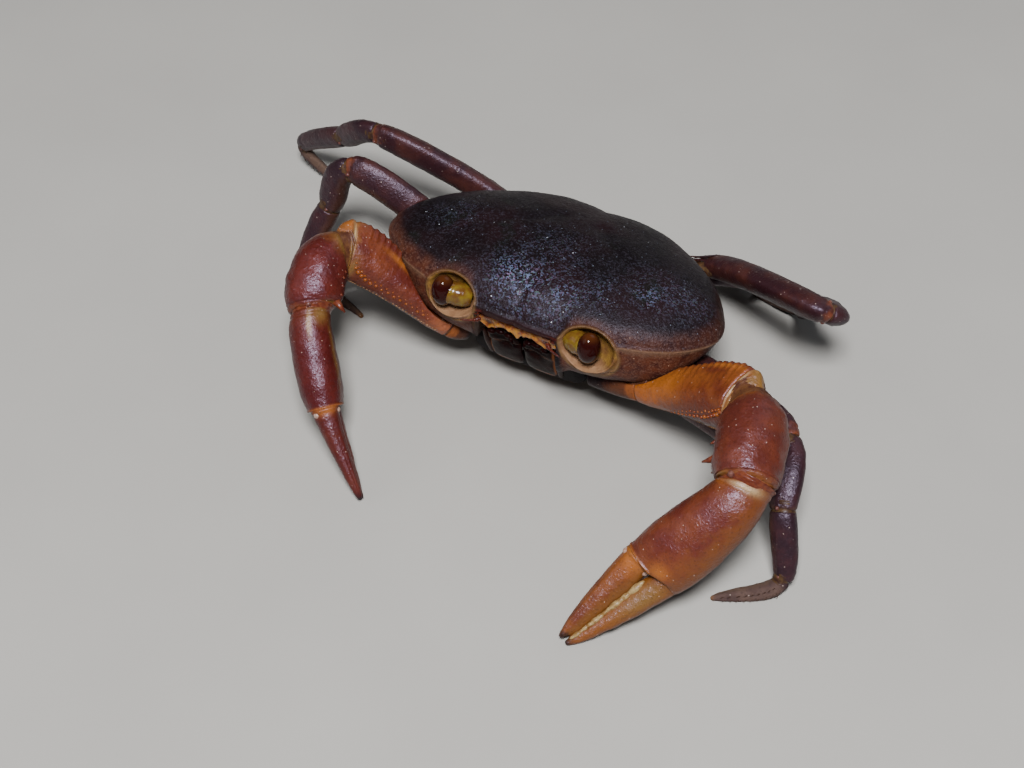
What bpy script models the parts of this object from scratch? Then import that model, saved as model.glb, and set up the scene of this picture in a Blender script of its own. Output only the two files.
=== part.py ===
"""A freshwater crab at life size, standing as it does on the forest floor.

The crab looks along -Y, its own left is +X and up is +Z.  It stands on the floor at Z = 0.
Every length here is in millimetres, and each finished mesh is scaled to metres once.
"""

import math
import random

import bmesh
import bpy
from mathutils import Matrix, Vector

MM = 0.001
GAP = 0.3
ROUND = 10
CLAW_ROUND = 14
dice = random.Random(7)

# Shell
SHELL_CENTRE = Vector((0.0, 0.3, 15.4))
SHELL_PITCH = math.radians(11.0)
SHELL_DOME = 5.6
SHELL_BACK_FALL = 0.35
SHELL_DEPTH = 8.6
SHELL_CUTS = 15
UNDERSIDE_AT_MIDDLE = 9.9
UNDERSIDE_SLOPE = 0.07
UNDERSIDE_NORMAL = Vector((0.0, -UNDERSIDE_SLOPE, -1.0)).normalized()
DOME_POWERS = (0.8, 0.95)
WALL_FULLNESS = (1.8, 0.55)
CLEARANCE = 0.35

# Half of the shell's outline from above, front to back: across, along
SHELL_OUTLINE = (
    (0.0, -14.3),
    (6.6, -14.1),
    (14.6, -12.7),
    (21.2, -9.0),
    (24.2, -4.0),
    (22.0, 2.9),
    (15.5, 9.9),
    (9.0, 13.8),
    (0.0, 14.2),
)

# Face
ORBIT_CENTRE = Vector((10.1, -14.1, 17.4))
ORBIT_SIZE = Vector((3.8, 2.9, 3.1))
ORBIT_TILT = math.radians(-38.0)
RIM_RADIUS = 0.6
RIM_AROUND = 22
RING_RADIUS = 4.0
EYE_CENTRE = Vector((10.65, -13.7, 17.8))
EYE_HALF = Vector((1.75, 1.7, 2.1))
STALK_ROOT = Vector((7.7, -12.7, 17.0))
STALK_RADIUS = 1.25
FAR_AHEAD = -30.0
BROW_HALF_WIDTH = 5.4
BROW_UNDERSIDE = 16.9
BROW_BACK = -13.0
MOUTH_HALF_WIDTH = 5.9
MOUTH_TOP = 16.4
MOUTH_BACK = -10.4
EPISTOME_HEIGHT = 2.5
EPISTOME_FRONT = -13.3
EPISTOME_BEVEL = 0.5
PLATE_BOTTOM = 5.4
PLATE_FRONT = (-13.1, -10.7)
PLATE_THICKNESS = (2.2, 0.8)
PLATE_NARROWING = 1.2
PLATE_CORNERS = (0.45, 0.7, 0.45)
ANTENNA_ROOT = Vector((5.0, -14.1, 15.9))
ANTENNA_LENGTH = 4.2
ANTENNA_SECTIONS = ((0.0, 0.5, 0.5), (0.3, 0.42, 0.42), (0.5, 0.28, 0.28), (1.0, 0.2, 0.2))
ANTENNA_WAYS = (Vector((0.35, -0.95, 0.0)), Vector((0.9, -0.2, -0.1)))

# Underside of the body
THORAX_BOTTOM = 5.0
THORAX_HALF_WIDTHS = ((-9.6, 8.3), (-5.0, 9.4), (0.0, 9.3), (5.0, 8.6), (9.0, 6.6), (12.0, 5.2))
ABDOMEN_THICKNESS = 1.1

# The tail plate's middle line from the shell's back to its tip: place, along, up, half width
ABDOMEN_LINE = (
    (0.0, 13.9, 8.4, 5.2),
    (0.2, 14.3, 6.8, 5.3),
    (0.4, 13.0, 4.7, 5.2),
    (0.55, 10.4, 3.7, 4.9),
    (0.8, 5.0, 3.8, 3.4),
    (1.0, 0.0, 3.9, 1.4),
)

# Where each limb's joints are: the root on the body, then the joints out to the tip
LIMBS = {
    "claw_right": ((-8.9, -9.0, 7.4), (-11.5, -10.9, 9.2), (-25.6, -15.3, 20.2),
                   (-24.7, -24.4, 16.0), (-18.6, -31.3, 7.6), (-10.3, -37.2, 0.5)),
    "claw_left": ((8.9, -9.0, 7.4), (17.0, -10.0, 9.9), (33.4, -15.0, 19.1),
                  (37.4, -25.8, 16.8), (30.0, -34.9, 6.9), (23.2, -44.9, 0.5)),
    "leg2_right": ((-9.9, -4.7, 7.3), (-14.5, -5.2, 7.9), (-31.0, -5.5, 8.0),
                   (-33.0, -12.5, 8.5), (-29.0, -21.0, 5.5), (-23.0, -27.5, 0.25)),
    "leg2_left": ((9.9, -4.7, 7.0), (14.5, -5.0, 6.5), (33.0, -10.8, 6.5),
                  (35.5, -18.6, 7.6), (33.0, -27.6, 3.6), (27.0, -35.2, 0.25)),
    "leg3_right": ((-9.9, -0.3, 7.3), (-15.0, 2.4, 8.6), (-34.0, 1.3, 18.0),
                   (-37.2, 0.2, 10.6), (-39.3, -3.4, 2.3), (-27.5, -8.1, 0.25)),
    "leg3_left": ((9.9, -0.3, 7.6), (15.5, -1.4, 8.4), (38.3, -13.0, 13.4),
                  (41.2, -20.5, 9.6), (43.6, -24.5, 1.9), (36.5, -30.4, 0.25)),
    "leg4_right": ((-9.3, 4.4, 7.5), (-13.0, 11.8, 9.4), (-34.6, 9.8, 18.0),
                   (-42.1, 12.3, 12.7), (-51.5, 15.4, 4.9), (-43.9, 14.2, 0.25)),
    "leg4_left": ((9.3, 4.4, 7.5), (14.7, 14.6, 9.8), (35.1, 7.4, 16.7),
                  (31.6, 13.8, 10.6), (27.6, 20.2, 2.4), (19.6, 22.4, 0.25)),
    "leg5_right": ((-7.9, 8.9, 6.8), (-10.0, 15.6, 6.0), (-22.0, 15.0, 6.6),
                   (-23.6, 17.8, 3.7), (-17.5, 21.6, 1.5), (-10.5, 21.0, 0.25)),
    "leg5_left": ((7.9, 8.9, 6.8), (11.5, 16.4, 5.4), (21.5, 19.4, 6.2),
                  (20.6, 22.0, 2.9), (14.2, 22.6, 1.4), (7.2, 21.8, 0.25)),
}

# How far each limb turns at its joints: 0 keeps the inner piece's line, 1 the outer's
JOINT_SHARE = (0.5, 0.5, 0.5, 0.35)
JOINT_TRIM = 0.1

# Half height and half thickness of a walking leg's pieces from root to end
LEG_SECTIONS = {
    "base": ((0.0, 1.55, 1.35), (0.5, 1.85, 1.5), (1.0, 1.75, 1.3)),
    "merus": ((0.0, 1.8, 1.6), (0.2, 2.3, 1.95), (0.6, 2.5, 2.0), (0.9, 2.3, 1.85), (1.0, 1.8, 1.55)),
    "carpus": ((0.0, 1.75, 1.5), (0.3, 1.95, 1.75), (0.75, 2.0, 1.8), (1.0, 1.7, 1.6)),
    "propodus": ((0.0, 1.65, 1.55), (0.3, 1.8, 1.65), (0.8, 1.55, 1.4), (1.0, 1.2, 1.1)),
    "dactylus": ((0.0, 1.1, 0.9), (0.3, 1.15, 0.85), (0.7, 0.8, 0.6), (1.0, 0.3, 0.3)),
}
LEG_SCALE = {"leg2": 0.86, "leg3": 1.0, "leg4": 0.94, "leg5": 0.74}

CLAW_SECTIONS = {
    "base": ((0.0, 1.5, 1.4), (0.6, 2.0, 1.8), (1.0, 2.0, 1.75)),
    "carpus": ((0.0, 2.2, 2.1), (0.3, 3.5, 3.7), (0.65, 4.0, 4.1), (0.92, 3.2, 3.3), (1.0, 2.6, 2.6)),
    "palm": ((0.0, 2.5, 2.3), (0.2, 3.2, 2.8), (0.65, 3.9, 3.0), (1.0, 3.5, 2.4)),
    "finger": ((0.0, 1.6, 1.5), (0.3, 1.4, 1.25), (0.7, 0.8, 0.8), (1.0, 0.28, 0.32)),
}
CLAW_SCALE = {"claw_left": 1.16, "claw_right": 0.97}
MERUS_SECTIONS = {
    "claw_left": ((0.0, 2.1, 2.0), (0.3, 2.8, 2.6), (0.5, 3.6, 2.9),
                  (0.7, 4.3, 3.1), (0.92, 4.2, 2.9), (1.0, 2.6, 2.2)),
    "claw_right": ((0.0, 1.9, 1.75), (0.3, 2.5, 2.2), (0.5, 3.2, 2.5),
                   (0.7, 3.8, 2.6), (0.92, 3.8, 2.4), (1.0, 2.4, 1.85)),
}
CARPUS_PULL = {"claw_left": 0.45, "claw_right": 0.9}
SPINE_LENGTH = 1.6
SPINE_RADIUS = 0.75
BEADS_PER_ROW = 11
BEAD_RADIUS = 0.42
BEAD_PROUD = 0.3
TEETH_PER_FINGER = 7
TOOTH_RADIUS = 0.5
TOOTH_PROUD = 0.28
CLAW_UP = {
    "claw_left": {"merus": (-0.19, 0.71, 0.67), "carpus": (-0.6, 0.4, 0.7), "palm": (-0.83, 0.19, 0.52)},
    "claw_right": {"merus": (0.155, 0.79, 0.59), "carpus": (0.2, -0.1, 0.97), "palm": (0.32, -0.6, 0.73)},
}

# Where the carpus spine stands, how far it leans towards the palm, and which lines carry the beads
# and teeth, in degrees round the piece
CARPUS_SPINE_AT = {"claw_left": (0.58, 165.0, 0.26), "claw_right": (0.85, 5.0, 0.83)}
MERUS_BEAD_ANGLE = {"claw_left": -75.0, "claw_right": -105.0}
TOOTH_ANGLE = {"claw_left": 70.0, "claw_right": 110.0}

# The fingers: how far apart their roots and tips are, how far the fixed one starts inside the palm
FINGER_SPREAD = 1.85
FINGER_SUNK = 2.5
TIP_SPREAD = 0.5
TIP_CURL = 0.3

COLOURS = {
    "shell": (0.022, 0.012, 0.018),
    "claw": (0.20, 0.030, 0.018),
    "leg": (0.070, 0.018, 0.020),
    "sternum": (0.32, 0.16, 0.06),
    "mouth": (0.035, 0.012, 0.010),
    "epistome": (0.55, 0.22, 0.03),
    "eye": (0.05, 0.010, 0.012),
}


def make_materials():
    """One plain finish for each kind of surface."""
    made = {}
    for name, colour in COLOURS.items():
        material = bpy.data.materials.new(name)
        material.use_nodes = True
        shader = material.node_tree.nodes["Principled BSDF"]
        shader.inputs["Base Color"].default_value = (*colour, 1.0)
        shader.inputs["Roughness"].default_value = 0.15 if name == "eye" else 0.4
        shader.inputs["Metallic"].default_value = 0.0
        made[name] = material
    return made


def smooth_curve(stations, t):
    """Values at t on a smooth curve through stations, each (place, value, value ...)."""
    places = [row[0] for row in stations]
    last = len(stations) - 1
    index = 0
    while index < last - 1 and t > places[index + 1]:
        index += 1
    span = places[index + 1] - places[index]
    u = min(max((t - places[index]) / span, 0.0), 1.0)
    values = []
    for column in range(1, len(stations[0])):
        here, there = stations[index][column], stations[index + 1][column]
        before = stations[max(index - 1, 0)]
        after = stations[min(index + 2, last)]
        slope_here = (there - before[column]) / (places[index + 1] - before[0]) * span
        slope_there = (after[column] - here) / (after[0] - places[index]) * span
        if index == 0:
            slope_here = there - here
        if index == last - 1:
            slope_there = there - here
        values.append(
            here * (2 * u**3 - 3 * u**2 + 1)
            + slope_here * (u**3 - 2 * u**2 + u)
            + there * (3 * u**2 - 2 * u**3)
            + slope_there * (u**3 - u**2)
        )
    return values


def signed_power(value, power):
    return math.copysign(abs(value) ** power, value)


def tube(around, rings):
    """A closed straight cylinder along Z from 0 to 1, cut across into rings."""
    bm = bmesh.new()
    bmesh.ops.create_cone(bm, cap_ends=True, segments=around, radius1=1.0, radius2=1.0, depth=1.0)
    bmesh.ops.translate(bm, verts=bm.verts[:], vec=(0.0, 0.0, 0.5))
    upright = [edge for edge in bm.edges if abs(edge.verts[0].co.z - edge.verts[1].co.z) > 0.5]
    bmesh.ops.subdivide_edges(bm, edges=upright, cuts=rings - 2)
    return bm


def tube_surface(start, end, start_way, end_way, pull, sections, across, squareness=0.9, keel=0.0):
    """A function that gives the place on a bent tube from t along it and an angle round it.

    The sections give the tube's half height and half thickness, and across its thickness.
    """
    reach = (end - start).length * pull

    def place(t, angle, sunk=0.0):
        centre = (
            start * (2 * t**3 - 3 * t**2 + 1)
            + start_way * reach * (t**3 - 2 * t**2 + t)
            + end * (3 * t**2 - 2 * t**3)
            + end_way * reach * (t**3 - t**2)
        )
        way = (
            start * (6 * t**2 - 6 * t)
            + start_way * reach * (3 * t**2 - 4 * t + 1)
            + end * (6 * t - 6 * t**2)
            + end_way * reach * (3 * t**2 - 2 * t)
        ).normalized()
        side = (across - way * across.dot(way)).normalized()
        up = way.cross(side)
        half_height, half_thickness = smooth_curve(sections, t)
        x = signed_power(math.cos(angle), squareness) * (half_thickness - sunk)
        y = signed_power(math.sin(angle), squareness) * (half_height - sunk)
        x *= 1.0 - keel * max(math.sin(angle), 0.0)
        return centre + side * x + up * y

    return place


def bend_tube(bm, place):
    """Lay a straight tube on a bent tube's surface."""
    for vert in bm.verts:
        angle = math.atan2(vert.co.y, vert.co.x)
        vert.co = place(min(max(vert.co.z, 0.0), 1.0), angle)


def stud(root, tip, root_radius, tip_radius, around=6):
    """A small cone from root to tip, to be sunk into a larger piece and fused with it."""
    bm = bmesh.new()
    bmesh.ops.create_cone(
        bm, cap_ends=True, segments=around, radius1=root_radius, radius2=tip_radius, depth=(tip - root).length
    )
    turn = (tip - root).to_track_quat("Z", "Y").to_matrix().to_4x4()
    bmesh.ops.transform(bm, verts=bm.verts[:], matrix=Matrix.Translation((root + tip) / 2.0) @ turn)
    return object_from(bm, "stud")


def stud_row(place, count, first, last, angle, radius, proud, taper=0.5):
    """Studs of slightly varied size along one line of a bent tube."""
    studs = []
    for index in range(count):
        t = first + (last - first) * index / (count - 1)
        size = radius * dice.uniform(0.85, 1.15)
        turn = math.radians(angle) + dice.uniform(-0.04, 0.04)
        studs.append(stud(place(t, turn, 2.0 * radius), place(t, turn, -proud), size, size * taper))
    return studs


def cut_flat(bm, point, normal):
    """Cut away what is on the normal's side of a plane and close the cut."""
    geometry = bm.verts[:] + bm.edges[:] + bm.faces[:]
    cut = bmesh.ops.bisect_plane(
        bm, geom=geometry, dist=1e-5, plane_co=point, plane_no=normal, clear_outer=True
    )
    rim = [item for item in cut["geom_cut"] if isinstance(item, bmesh.types.BMEdge)]
    bmesh.ops.holes_fill(bm, edges=rim, sides=0)


def stand_on_floor(bm):
    """Cut away what reaches below the floor, which leaves the small flat that the tip rests on."""
    cut_flat(bm, Vector((0.0, 0.0, 0.0)), Vector((0.0, 0.0, -1.0)))


def object_from(bm, name, material=None):
    bmesh.ops.recalc_face_normals(bm, faces=bm.faces[:])
    if bm.calc_volume(signed=True) < 0.0:
        bmesh.ops.reverse_faces(bm, faces=bm.faces[:])
    mesh = bpy.data.meshes.new(name)
    bm.to_mesh(mesh)
    bm.free()
    made = bpy.data.objects.new(name, mesh)
    bpy.context.scene.collection.objects.link(made)
    if material:
        mesh.materials.append(material)
    return made


def keep_largest(mesh):
    """Drop every closed surface of a mesh but the one with the most faces."""
    bm = bmesh.new()
    bm.from_mesh(mesh)
    bmesh.ops.dissolve_degenerate(bm, dist=1e-4, edges=bm.edges[:])
    seen = set()
    groups = []
    for face in bm.faces:
        if face in seen:
            continue
        group = [face]
        seen.add(face)
        for member in group:
            for edge in member.edges:
                for other in edge.link_faces:
                    if other not in seen:
                        seen.add(other)
                        group.append(other)
        groups.append(group)
    largest = max(groups, key=len)
    spare = [face for group in groups if group is not largest for face in group]
    if spare:
        bmesh.ops.delete(bm, geom=spare, context="FACES")
    bm.to_mesh(mesh)
    bm.free()


def combine(base, others, operation, solver="EXACT"):
    """Join closed pieces to a base, or cut them from it, with one Boolean on a collection."""
    group = bpy.data.collections.new("pieces")
    for other in others:
        group.objects.link(other)
    boolean = base.modifiers.new("combine", "BOOLEAN")
    boolean.operation = operation
    boolean.operand_type = "COLLECTION"
    boolean.collection = group
    boolean.solver = solver
    result = bpy.data.meshes.new_from_object(
        base.evaluated_get(bpy.context.evaluated_depsgraph_get())
    )
    base.modifiers.clear()
    base.data = result
    for other in others:
        bpy.data.objects.remove(other)
    bpy.data.collections.remove(group)
    keep_largest(base.data)
    return base


def finish(made, root):
    """Scale a piece to metres, shade it smooth and hang it on the body's empty."""
    made.data.transform(Matrix.Scale(MM, 4))
    made.data.shade_smooth()
    made.data.set_sharp_from_angle(angle=math.radians(40.0))
    made.parent = root
    return made


def outline_reach(azimuth):
    """Distance from the shell's middle to its outline in a direction, 0 pointing to its left."""
    stations = []
    for across, along in SHELL_OUTLINE:
        stations.append((math.atan2(along, across), math.hypot(across, along)))
    folded = math.atan2(math.sin(azimuth), abs(math.cos(azimuth)))
    return smooth_curve(stations, folded)[0]


def frontness(azimuth):
    """1 over the shell's front and 0 from its sides to its back."""
    ahead = min(1.0, max(0.0, 0.25 - 1.5 * math.sin(azimuth)))
    return ahead * ahead * (3.0 - 2.0 * ahead)


def dome_height(azimuth, spread):
    """The dome's height, which falls away towards the shell's back."""
    return SHELL_DOME * (1.0 - SHELL_BACK_FALL * max(0.0, math.sin(azimuth)) * spread)


def wall_fullness(azimuth):
    """How the shell's side runs in under its edge: steep in front, hollow at the sides and back."""
    slim, full = WALL_FULLNESS
    return slim + (full - slim) * frontness(azimuth)


def to_world(local):
    return SHELL_CENTRE + Matrix.Rotation(-SHELL_PITCH, 3, "X") @ local


def shell_point(direction):
    """The shell's surface in a direction from its middle."""
    azimuth = math.atan2(direction.y, direction.x)
    latitude = math.asin(max(-1.0, min(1.0, direction.z)))
    reach = outline_reach(azimuth)
    if latitude >= 0.0:
        spread = max(math.cos(latitude), 0.0) ** DOME_POWERS[0]
        height = dome_height(azimuth, spread) * math.sin(latitude) ** DOME_POWERS[1]
    else:
        fullness = wall_fullness(azimuth)
        spread = max(math.cos(latitude), 0.0) ** fullness
        height = -SHELL_DEPTH * math.sin(-latitude) ** fullness
    return to_world(Vector((math.cos(azimuth) * reach * spread, math.sin(azimuth) * reach * spread, height)))


def ball(cuts):
    """A cube cut into a grid and blown up to a ball of radius 1."""
    bm = bmesh.new()
    bmesh.ops.create_cube(bm, size=2.0)
    bmesh.ops.subdivide_edges(bm, edges=bm.edges[:], cuts=cuts, use_grid_fill=True)
    for vert in bm.verts:
        x, y, z = (math.tan(value * math.pi / 4.0) for value in vert.co)
        vert.co = Vector((x, y, z)).normalized()
    return bm


def place_ball(bm, centre, half, turn):
    for vert in bm.verts:
        vert.co = centre + turn @ Vector((vert.co.x * half.x, vert.co.y * half.y, vert.co.z * half.z))


def orbit_turn():
    return Matrix.Rotation(ORBIT_TILT, 3, "X")


def mirrored(point, side):
    return Vector((point.x * side, point.y, point.z))


def underside_height(y):
    return UNDERSIDE_AT_MIDDLE - UNDERSIDE_SLOPE * y


def box(low, high):
    bm = bmesh.new()
    bmesh.ops.create_cube(bm, size=1.0)
    for vert in bm.verts:
        vert.co = Vector(
            (low[axis] if vert.co[axis] < 0.0 else high[axis] for axis in range(3))
        )
    return bm


def inside_shell(point):
    """Whether a point lies inside the shell's closed surface."""
    local = Matrix.Rotation(SHELL_PITCH, 3, "X") @ (point - SHELL_CENTRE)
    azimuth = math.atan2(local.y, local.x)
    spread = min(math.hypot(local.x, local.y) / outline_reach(azimuth), 1.0)
    if local.z >= 0.0:
        rise = local.z / dome_height(azimuth, spread)
        return spread ** (2.0 / DOME_POWERS[0]) + rise ** (2.0 / DOME_POWERS[1]) < 1.0
    fullness = wall_fullness(azimuth)
    return spread ** (2.0 / fullness) + (-local.z / SHELL_DEPTH) ** (2.0 / fullness) < 1.0


def rim_point(angle, side):
    """Where the orbit's pocket meets the shell's surface, at an angle round the pocket."""
    inner, outer = 0.0, math.pi
    for _ in range(24):
        lean = (inner + outer) / 2.0
        ahead = Vector((math.cos(angle) * math.sin(lean), -math.cos(lean), math.sin(angle) * math.sin(lean)))
        local = Vector((ahead.x * ORBIT_SIZE.x, ahead.y * ORBIT_SIZE.y, ahead.z * ORBIT_SIZE.z))
        if inside_shell(ORBIT_CENTRE + orbit_turn() @ local):
            outer = lean
        else:
            inner = lean
    return mirrored(ORBIT_CENTRE + orbit_turn() @ local, side)


def make_orbit_rim(side):
    """The rounded lip round an eye's pocket, a ring laid along the pocket's edge."""
    bm = bmesh.new()
    section = bmesh.ops.create_circle(bm, segments=6, radius=1.0)["verts"]
    turn = Matrix.Rotation(math.radians(90.0), 4, "X")
    bmesh.ops.transform(bm, verts=section, matrix=Matrix.Translation((RING_RADIUS, 0.0, 0.0)) @ turn)
    bmesh.ops.spin(
        bm, geom=bm.verts[:] + bm.edges[:], cent=(0, 0, 0), axis=(0, 0, 1), angle=math.tau, steps=RIM_AROUND,
        use_merge=True
    )
    bmesh.ops.remove_doubles(bm, verts=bm.verts[:], dist=1e-4)
    middle = sum((rim_point(math.tau * step / 12, side) for step in range(12)), Vector()) / 12.0
    forward = orbit_turn() @ Vector((0.0, -1.0, 0.0))
    for vert in bm.verts:
        angle = math.atan2(vert.co.y, vert.co.x)
        out = math.hypot(vert.co.x, vert.co.y) - RING_RADIUS
        path = rim_point(angle, side)
        radial = path - middle
        radial = (radial - forward * radial.dot(forward)).normalized()
        vert.co = path + (radial * (out + 0.5) + forward * vert.co.z) * RIM_RADIUS
    return object_from(bm, "orbit_rim")


def make_carapace(materials):
    bm = ball(SHELL_CUTS)
    for vert in bm.verts:
        vert.co = shell_point(vert.co)
    cut_flat(bm, Vector((0.0, 0.0, UNDERSIDE_AT_MIDDLE)), UNDERSIDE_NORMAL)
    shell = object_from(bm, "carapace", materials["shell"])
    cutters = []
    for side in (1, -1):
        pocket = ball(5)
        place_ball(pocket, mirrored(ORBIT_CENTRE, side), ORBIT_SIZE, orbit_turn())
        cutters.append(object_from(pocket, "orbit_cutter"))
    half = MOUTH_HALF_WIDTH + GAP
    mouth = box((-half, FAR_AHEAD, 0.0), (half, MOUTH_BACK, MOUTH_TOP))
    cutters.append(object_from(mouth, "mouth_cutter"))
    low = (-BROW_HALF_WIDTH, FAR_AHEAD, MOUTH_TOP - 1.0)
    brow = box(low, (BROW_HALF_WIDTH, BROW_BACK, BROW_UNDERSIDE))
    cutters.append(object_from(brow, "brow_cutter"))
    shell = combine(shell, cutters, "DIFFERENCE")
    return combine(shell, [make_orbit_rim(1), make_orbit_rim(-1)], "UNION")


def clear_of_shell(piece):
    """Cut a limb's piece where it would touch the shell, leaving the gap between them."""
    bm = ball(SHELL_CUTS)
    for vert in bm.verts:
        vert.co = shell_point(vert.co)
    bm.normal_update()
    away = {vert: vert.normal.copy() for vert in bm.verts}
    for vert, normal in away.items():
        vert.co += normal * CLEARANCE
    cut_flat(bm, Vector((0.0, 0.0, UNDERSIDE_AT_MIDDLE - GAP)), UNDERSIDE_NORMAL)
    return combine(piece, [object_from(bm, "shell_cutter")], "DIFFERENCE")


def make_thorax(materials):
    """The breastplate with the body's floor, between the legs' roots."""
    first, last = THORAX_HALF_WIDTHS[0][0], THORAX_HALF_WIDTHS[-1][0]
    bm = tube(16, 9)
    for vert in bm.verts:
        y = first + (last - first) * min(max(vert.co.z, 0.0), 1.0)
        half = smooth_curve(THORAX_HALF_WIDTHS, y)[0]
        top = underside_height(y) - GAP
        middle = (top + THORAX_BOTTOM) / 2.0
        height = (top - THORAX_BOTTOM) / 2.0
        angle = math.atan2(vert.co.y, vert.co.x)
        x = signed_power(math.cos(angle), 0.4) * half
        z = signed_power(math.sin(angle), 0.4) * height
        vert.co = Vector((x, y, middle + z))
    return object_from(bm, "thorax", materials["sternum"])


def make_abdomen(materials):
    """The tail plate, folded round the body's back and forward under the breastplate."""
    bm = tube(8, 12)
    for vert in bm.verts:
        t = min(max(vert.co.z, 0.0), 1.0)
        y, z, half = smooth_curve(ABDOMEN_LINE, t)
        ahead_y, ahead_z, _ = smooth_curve(ABDOMEN_LINE, min(t + 0.01, 1.0))
        back_y, back_z, _ = smooth_curve(ABDOMEN_LINE, max(t - 0.01, 0.0))
        way = Vector((0.0, ahead_y - back_y, ahead_z - back_z)).normalized()
        outward = Vector((0.0, -way.z, way.y)) * -1.0
        angle = math.atan2(vert.co.y, vert.co.x)
        x = signed_power(math.cos(angle), 0.5) * half
        out = signed_power(math.sin(angle), 0.5) * ABDOMEN_THICKNESS / 2.0
        vert.co = Vector((x, y, z)) + outward * out
    return object_from(bm, "abdomen", materials["sternum"])


def make_epistome(materials):
    """The ridged bar above the mouth, with its tooth in the middle."""
    top = MOUTH_TOP - GAP
    low = (-MOUTH_HALF_WIDTH, EPISTOME_FRONT, top - EPISTOME_HEIGHT)
    bar = box(low, (MOUTH_HALF_WIDTH, MOUTH_BACK - GAP, top))
    front = [edge for edge in bar.edges if all(vert.co.y < EPISTOME_FRONT + GAP for vert in edge.verts)]
    bmesh.ops.bevel(bar, geom=front, offset=EPISTOME_BEVEL, segments=1, profile=0.5, affect="EDGES")
    return object_from(bar, "epistome", materials["epistome"])


def make_maxilliped(side, materials):
    """One of the two outer mouth plates that close the mouth like a pair of doors."""
    top = MOUTH_TOP - EPISTOME_HEIGHT - 2 * GAP
    bm = ball(4)
    for vert in bm.verts:
        x, y, z = (signed_power(value, power) for value, power in zip(vert.co, PLATE_CORNERS))
        fall = (1.0 - z) / 2.0
        width = MOUTH_HALF_WIDTH - GAP / 2.0 - PLATE_NARROWING * fall
        across = GAP / 2.0 + width * (x + 1.0) / 2.0
        front = PLATE_FRONT[0] + (PLATE_FRONT[1] - PLATE_FRONT[0]) * fall
        thickness = PLATE_THICKNESS[0] + (PLATE_THICKNESS[1] - PLATE_THICKNESS[0]) * fall
        vert.co = Vector((side * across, front + thickness * (y + 1.0) / 2.0, top + (PLATE_BOTTOM - top) * fall))
    name = "maxilliped_left" if side > 0 else "maxilliped_right"
    return object_from(bm, name, materials["mouth"])


def make_eye(side, materials):
    """A short stalk from the orbit's inner wall with the cornea on its end."""
    name = "eye_left" if side > 0 else "eye_right"
    root, centre = mirrored(STALK_ROOT, side), mirrored(EYE_CENTRE, side)
    way = (centre - root).normalized()
    stalk = tube(ROUND, 4)
    sections = ((0.0, STALK_RADIUS * 0.8, STALK_RADIUS * 0.8), (1.0, STALK_RADIUS, STALK_RADIUS))
    bend_tube(stalk, tube_surface(root, centre, way, way, 1.0, sections, Vector((0.0, 0.0, 1.0))))
    room = ball(5)
    place_ball(room, mirrored(ORBIT_CENTRE, side), ORBIT_SIZE - Vector((GAP, GAP, GAP)), orbit_turn())
    trimmed = combine(object_from(stalk, "stalk"), [object_from(room, "room")], "INTERSECT")
    cornea = ball(4)
    place_ball(cornea, centre, EYE_HALF, Matrix.Identity(3))
    eye = object_from(cornea, name, materials["eye"])
    return combine(eye, [trimmed], "UNION")


def make_antenna(side, materials):
    """A short feeler from under the brow's corner, out along the orbit's lower edge."""
    name = "antenna_left" if side > 0 else "antenna_right"
    root = mirrored(ANTENNA_ROOT, side)
    start_way, end_way = (mirrored(way, side).normalized() for way in ANTENNA_WAYS)
    tip = root + (start_way * 0.4 + end_way).normalized() * ANTENNA_LENGTH
    bm = tube(8, 7)
    bend_tube(bm, tube_surface(root, tip, start_way, end_way, 0.9, ANTENNA_SECTIONS, Vector((0.0, 0.0, 1.0)), 1.0))
    return object_from(bm, name, materials["epistome"])


def joint_ways(joints):
    """The direction that a limb passes through each of its joints."""
    ways = [(second - first).normalized() for first, second in zip(joints, joints[1:])]
    side = math.copysign(1.0, joints[0].x)
    through = [Vector((side, 0.0, 0.2)).normalized()]
    for index, share in enumerate(JOINT_SHARE):
        blend = ways[index] * (1.0 - share) + ways[index + 1] * share
        through.append(blend.normalized())
    through.append(ways[-1])
    return ways, through


def scaled(sections, factor):
    return tuple((t, height * factor, thickness * factor) for t, height, thickness in sections)


def limb_surface(joints, through, index, sections, across, pull, keel=0.0):
    """The surface of a limb's piece between two joints, stopping half a gap short of each."""
    start = joints[index] + through[index] * GAP / 2.0
    last = index + 2 == len(joints)
    end = joints[index + 1] - through[index + 1] * (0.0 if last else GAP / 2.0)
    return tube_surface(start, end, through[index], through[index + 1], pull, sections, across, 0.9, keel)


def make_leg(name, materials):
    """A walking leg of five pieces, flattened in the plane in which it bends."""
    joints = [Vector(point) for point in LIMBS[name]]
    ways, through = joint_ways(joints)
    across = ways[1].cross(ways[2]).normalized()
    scale = LEG_SCALE[name[:4]]
    pieces = []
    settings = (("base", 0.6, 5, 0.0), ("merus", 0.5, 8, 0.35), ("carpus", 1.0, 8, 0.3),
                ("propodus", 0.5, 7, 0.2), ("dactylus", 0.8, 8, 0.0))
    for index, (piece, pull, rings, keel) in enumerate(settings):
        sections = scaled(LEG_SECTIONS[piece], scale)
        bm = tube(ROUND, rings)
        bend_tube(bm, limb_surface(joints, through, index, sections, across, pull, keel))
        stand_on_floor(bm)
        made = object_from(bm, f"{name}_{piece}", materials["leg"])
        pieces.append(clear_of_shell(made) if index < 2 else made)
    return pieces


def across_from_up(way, up):
    """The thickness direction for a limb along way whose height points as nearly as it can to up."""
    up = Vector(up)
    up = (up - way * up.dot(way)).normalized()
    return up.cross(way)


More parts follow.
